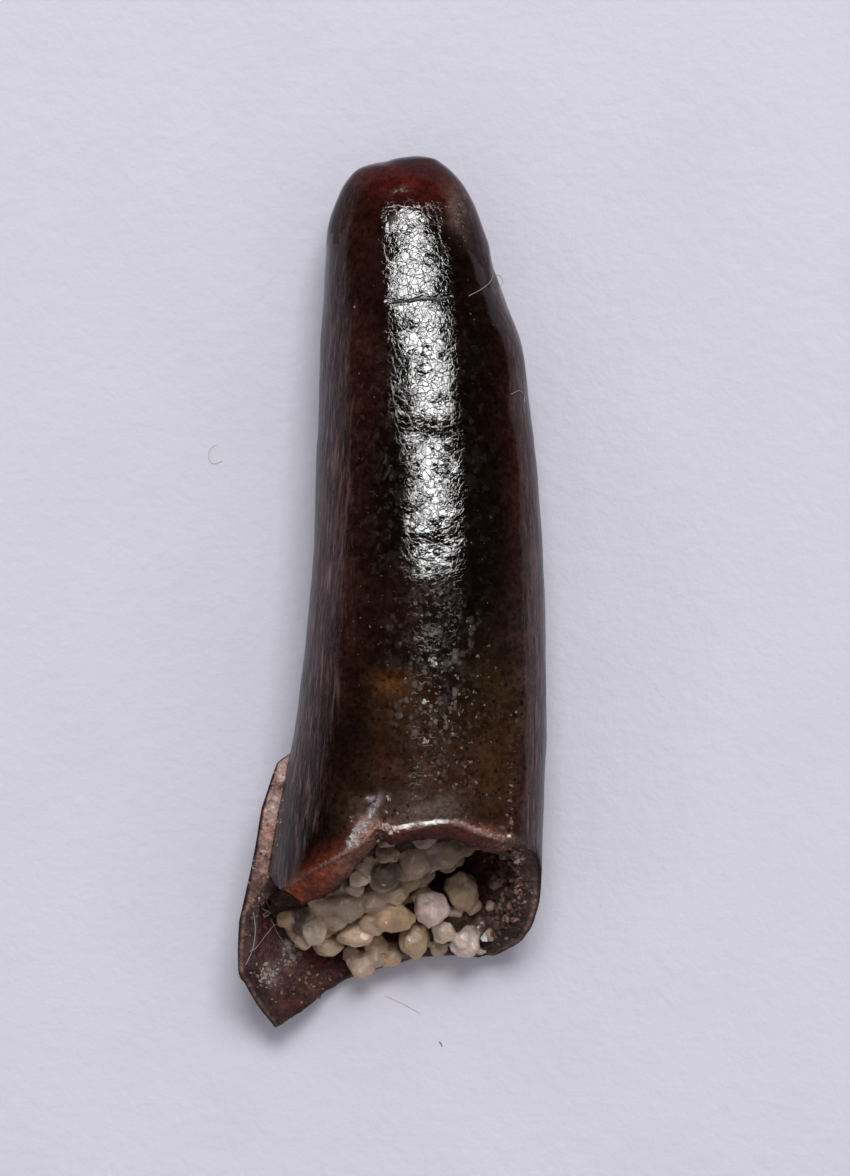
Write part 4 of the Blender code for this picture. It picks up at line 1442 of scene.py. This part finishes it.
def enamel_material(name, specular, crinkled=False):
    """Dark polished enamel, crinkled and strewn with flecks on top and streaked with dust and painted sheen
    on its flanks.
    """
    material, tree, shader = new_material(name)
    where = millimetres(tree)
    rough, flank = value_of(tree, "rough"), value_of(tree, "flank")
    fine = patches(tree, where, (8.0, 4.0, 0.7), 0.34, 0.66)
    lower = rise(tree, parts_of(tree, where)["Y"], 0.0, 1.2)
    polish = maths(tree, "MAXIMUM", inverse(tree, maths(tree, "MAXIMUM", flank, rough)), 0.25)
    strength = times(tree, polish, blend_numbers(tree, lower, 0.14, 1.0))
    normal = bump(tree, noise_of(tree, where, 5.5, 4.0, 0.66, 0.5), 0.0035, strength)
    shine = blend_numbers(tree, patches(tree, where, (3.0, 3.0, 0.6), 0.35, 0.65), 0.040, 0.080)
    shine = blend_numbers(tree, flank, shine, 0.33)
    if crinkled:
        crinkle, crack = value_of(tree, "crinkle"), groove(tree, where)
        normal = crinkles(tree, where, lower, crinkle, crack, strength, normal)
        shine = blend_numbers(tree, crinkle, shine, STRIP_ROUGHNESS)
        shine = blend_numbers(tree, times(tree, crack, crinkle), shine, GROOVE_ROUGHNESS)
    for stretch, scale, roughness in ((0.16, 9.0, 0.65), (0.45, 4.5, 0.6)):
        streaks = noise_of(tree, millimetres(tree, (1, stretch, 1)), scale, 4.0, roughness)
        normal = bump(tree, streaks, 0.030, flank, normal)
    fill(tree, shader, {
        "Base Color": enamel_colour(tree, where, fine, flank, crinkled),
        "Roughness": blend_numbers(tree, rough, shine, 0.40),
        "Normal": bump(tree, fine, 0.030, rough, normal),
        "IOR": 1.57,
        "Specular IOR Level": specular,
    })
    return material


def dentine_material():
    """The dull stuff of the broken faces, the ledge and the wall of the hollow."""
    material, tree, shader = new_material("tooth_dentine")
    where = millimetres(tree)
    fine = patches(tree, where, (7.0, 5.0, 0.72), 0.34, 0.66)
    colour = shaded_tint(tree, where, fine, 0.55, 1.45)
    colour = tinted(tree, where, ((4.5, 4.0, 0.65), 0.58, 0.70), 0.65, colour, DENTINE_SPOT)
    clots = noise_of(tree, where, 3.2, 5.0, 0.65)
    fill(tree, shader, {
        "Base Color": tinted(tree, where, ((5.5, 4.0, 0.65, 0.5), 0.58, 0.68), 0.35, colour, DENTINE_CRUST),
        "Roughness": blend_numbers(tree, fine, 0.45, 0.80),
        "Normal": bump(tree, fine, 0.035, 1.0, bump(tree, clots, 0.10)),
        "Specular IOR Level": 0.12,
    })
    return material


def quartz_material():
    """Frosted quartz: partly clear, soft inside, with small flat spots that glint."""
    material, tree, shader = new_material("sand_quartz")
    where = millimetres(tree)
    cloud = patches(tree, where, (3.0, 3.0, 0.6), 0.30, 0.70)
    colour = mix(tree, blend_numbers(tree, cloud, 0.50, 0.10), tint_of(tree), QUARTZ_DEEP)
    pits = noise_of(tree, where, 14.0, 2.0, 0.65)
    flats, chance = facets(tree, where, 5.0)
    dull = rise(tree, parts_of(tree, chance)["Z"], 0.10, 0.45)
    fill(tree, shader, {
        "Base Color": tinted(tree, where, ((6.0, 4.0, 0.6), 0.56, 0.74), 0.45, colour, QUARTZ_STAIN),
        "Roughness": blend_numbers(tree, dull, 0.18, 0.50),
        "Normal": bump(tree, pits, 0.014, 1.0, bump(tree, flats, 0.40)),
        "IOR": 1.54,
        "Specular IOR Level": 0.18,
        "Transmission Weight": 0.26,
        "Subsurface Weight": 0.5,
        "Subsurface Radius": (1.0, 0.75, 0.55),
        "Subsurface Scale": 0.22 * MM,
    })
    return material


def flake_material():
    """Dull chips, flakes and crumbs."""
    material, tree, shader = new_material("flakes")
    speck = patches(tree, millimetres(tree), (11.0, 4.0, 0.65), 0.35, 0.65)
    fill(tree, shader, {
        "Base Color": mix(tree, times(tree, speck, 0.45), tint_of(tree), SPECK_BROWN),
        "Roughness": blend_numbers(tree, speck, 0.22, 0.50),
        "Normal": bump(tree, speck, 0.012),
        "Specular IOR Level": 0.30,
    })
    return material


def fibre_material(name, tint):
    """A matt hair, paler in places."""
    material, tree, shader = new_material(name)
    shade = noise_of(tree, millimetres(tree), 6.0)
    pale = tuple(min(channel * 1.25, 1.0) for channel in tint)
    fill(tree, shader, {
        "Base Color": mix(tree, shade, tint, pale),
        "Roughness": 0.6,
        "Normal": bump(tree, shade, 0.004),
    })
    return material


def packed_sand_material():
    """Dark gritty sand."""
    material, tree, shader = new_material("packed_sand")
    where = millimetres(tree)
    grit = patches(tree, where, (6.0, 4.0, 0.65), 0.35, 0.68)
    colour = mix(tree, grit, SAND_DARK, SAND_PALE)
    fill(tree, shader, {
        "Base Color": tinted(tree, where, ((2.5, 4.0, 0.6), 0.35, 0.65), 0.6, colour, SAND_CLOUD),
        "Roughness": 0.75,
        "Normal": bump(tree, grit, 0.07),
        "Specular IOR Level": 0.1,
    })
    return material


def paper_material():
    """Matt pale paper, a little uneven."""
    material, tree, shader = new_material("pale_paper")
    where = millimetres(tree)
    fill(tree, shader, {
        "Base Color": mix(tree, noise_of(tree, where, 0.35, 1.0), PAPER_DARK, PAPER_PALE),
        "Roughness": 0.9,
        "Normal": bump(tree, noise_of(tree, where, 2.6, 3.0, 0.6), 0.035),
        "Specular IOR Level": 0.1,
    })
    return material


FLOOR_HALF_SIZE = 0.6


def build_floor(material):
    """A large flat sheet of paper at z = 0."""
    shape = bmesh.new()
    bmesh.ops.create_grid(shape, x_segments=1, y_segments=1, size=FLOOR_HALF_SIZE)
    mesh = bpy.data.meshes.new("paper_floor")
    shape.to_mesh(mesh)
    shape.free()
    floor = new_piece(mesh, material, smooth=False)


# Camera: straight above, where the photo's middle falls, with its picture scale in pixels to the millimetre
CAMERA_HEIGHT = 250.0
PHOTO_SCALE = 43.8
PHOTO_WIDTH, PHOTO_HEIGHT = 850, 1176
ORIGIN_IN_PHOTO = (391.9, 592.9)
OUTLINE_HEIGHT = 2.3
SENSOR = 36.0


def build_camera():
    """A camera that looks straight down and shows the tooth's outline at the photo's scale."""
    data = bpy.data.cameras.new("camera")
    data.sensor_width = SENSOR
    data.lens = SENSOR * (CAMERA_HEIGHT - OUTLINE_HEIGHT) / (PHOTO_HEIGHT / PHOTO_SCALE)
    camera = bpy.data.objects.new("camera", data)
    x = (PHOTO_WIDTH / 2 - ORIGIN_IN_PHOTO[0]) / PHOTO_SCALE
    y = (ORIGIN_IN_PHOTO[1] - PHOTO_HEIGHT / 2) / PHOTO_SCALE
    camera.location = Vector((x, y, CAMERA_HEIGHT)) * MM
    data.clip_start, data.clip_end = 0.01, 10
    bpy.context.scene.collection.objects.link(camera)
    bpy.context.scene.camera = camera


# Lights, in metres and watts. The softbox stands beyond the tip and leans over the tooth: its near and
# far ends are given as angles from straight up, and it faces along a third angle.
SOFTBOX_NEAR = math.radians(13)
SOFTBOX_FAR = math.radians(50)
SOFTBOX_FACING = math.radians(50)
SOFTBOX_DISTANCE = 0.36
SOFTBOX_ASIDE = 0.035
SOFTBOX_WIDTH = 0.29
SOFTBOX_DIM, SOFTBOX_BRIGHT, SOFTBOX_CORE = 4.0, 21.0, 26.0
SOFTBOX_BLOTCHES = 7.0
KEY_LEAN = math.radians(31)
KEY_DISTANCE = 0.40
KEY_SIZE = (0.18, 0.16)
KEY_WATTS = 1.04
SKY_COLOUR = (0.96, 0.96, 1.0)
SKY_STRENGTH = 0.386
SKY_IN_GLOSS = 0.012
HORIZON_IN_GLOSS = 0.05
HORIZON = (-0.05, 0.14)


def area_light(name, size, watts, place, facing, gloss, diffuse):
    """An area light at a place, which shines back along the facing direction."""
    data = bpy.data.lights.new(name, "AREA")
    data.shape = "RECTANGLE"
    data.size, data.size_y = size
    data.energy = watts
    light = bpy.data.objects.new(name, data)
    light.location = place
    light.rotation_euler = facing.to_track_quat("Z", "Y").to_euler()
    light.visible_glossy = gloss
    light.visible_diffuse = diffuse
    light.visible_camera = False
    bpy.context.scene.collection.objects.link(light)
    return light


def uneven_glow(data):
    """Makes a softbox brighter along its middle, with blotches that a wrinkled gloss breaks up."""
    data.use_nodes = True
    tree = data.node_tree
    place = new_node(tree, "ShaderNodeNewGeometry").outputs["Parametric"]
    aside = maths(tree, "ABSOLUTE", maths(tree, "SUBTRACT", parts_of(tree, place)["X"], 0.5))
    core = inverse(tree, rise(tree, aside, 0.05, 0.30))
    bright = maths(tree, "ADD", times(tree, core, SOFTBOX_CORE), SOFTBOX_BRIGHT)
    blotch = patches(tree, place, (SOFTBOX_BLOTCHES, 2.0, 0.5), 0.40, 0.58)
    glow = blend_numbers(tree, blotch, SOFTBOX_DIM, bright)
    tree.links.new(glow, tree.nodes["Emission"].inputs["Strength"])


def leaning(angle):
    """The direction that leans from straight up towards the tip by this angle."""
    return Vector((0, math.sin(angle), math.cos(angle)))


def build_lights():
    """A softbox that only gloss sees, and a key light that only matt surfaces see."""
    near = leaning(SOFTBOX_NEAR) * (SOFTBOX_DISTANCE / math.cos(SOFTBOX_FACING - SOFTBOX_NEAR))
    far = leaning(SOFTBOX_FAR) * (SOFTBOX_DISTANCE / math.cos(SOFTBOX_FAR - SOFTBOX_FACING))
    middle = (near + far) / 2 + Vector((SOFTBOX_ASIDE, 0, 0))
    length = (far - near).length
    size = (SOFTBOX_WIDTH, length)
    watts = math.pi * size[0] * size[1]
    softbox = area_light("softbox", size, watts, middle, leaning(SOFTBOX_FACING), gloss=True, diffuse=False)
    uneven_glow(softbox.data)
    place = leaning(KEY_LEAN) * KEY_DISTANCE + Vector((SOFTBOX_ASIDE, 0, 0))
    area_light("key", KEY_SIZE, KEY_WATTS, place, leaning(KEY_LEAN), gloss=False, diffuse=True)


def build_sky():
    """Even soft light from all round, which gloss sees as nearly dark overhead and pale low down."""
    world = bpy.data.worlds.new("studio")
    world.use_nodes = True
    tree = world.node_tree
    background = tree.nodes["Background"]
    rays = new_node(tree, "ShaderNodeLightPath")
    facing = new_node(tree, "ShaderNodeTexCoord").outputs["Generated"]
    low = inverse(tree, rise(tree, parts_of(tree, facing)["Z"], *HORIZON))
    in_gloss = blend_numbers(tree, low, SKY_IN_GLOSS, HORIZON_IN_GLOSS)
    strength = blend_numbers(tree, rays.outputs["Is Glossy Ray"], SKY_STRENGTH, in_gloss)
    fill(tree, background, {"Color": SKY_COLOUR, "Strength": strength})
    bpy.context.scene.world = world


def main():
    """Builds the tooth, its sand and crumbs, the paper, the camera and the light."""
    quartz, packed, flakes = quartz_material(), packed_sand_material(), flake_material()
    ground = build_crown(
        enamel_material("tooth_enamel", 0.5, crinkled=True),
        enamel_material("tooth_side_enamel", 0.22),
        enamel_material("tooth_tip_enamel", 0.07),
        dentine_material(),
    )
    build_plug(packed)
    plug_grains = build_clump("plug_grains", PLUG_GRAINS + tuple(fill_rows(70, 21)), 100, quartz)
    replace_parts(plug_grains, "sand_plug")
    points, faces = grain_shape(200, 4)
    points = points * CLUSTER_CORE[3:6] + CLUSTER_CORE[:3]
    tints = np.tile(np.array(CLUSTER_CORE[6]), (len(points), 1))
    core = finish_grains("sand_cluster_body", points, faces.tolist(), tints, packed)
    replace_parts(core, "sand_cluster")
    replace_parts(build_clump("cluster_grains", CLUSTER_GRAINS, 300, quartz), "sand_cluster")
    lying_grains("wall_crumbs", WALL_CRUMBS, 400, wall_crumb_shape, ground, quartz, smooth=True)
    lying_grains("fine_crumbs", strewn(CRUMB_SPOTS, 7), 500, crumb_shape, ground, flakes, tilt=0.3)
    lying_grains("flakes", strewn(FLAKE_SPOTS, 8), 900, shard_shape, ground, flakes, tilt=0.12)
    chips = CHIPS + tuple(shard_rows(SHARD_STREAKS, 9))
    lying_grains("chips", chips, 1500, shard_shape, ground, flakes, tilt=0.15)
    build_lint(ground, fibre_material("lint", LINT_GREY))
    build_paper_fibres()
    build_floor(paper_material())
    build_camera()
    build_lights()
    build_sky()
    bpy.context.scene.view_settings.view_transform = "Standard"


main()
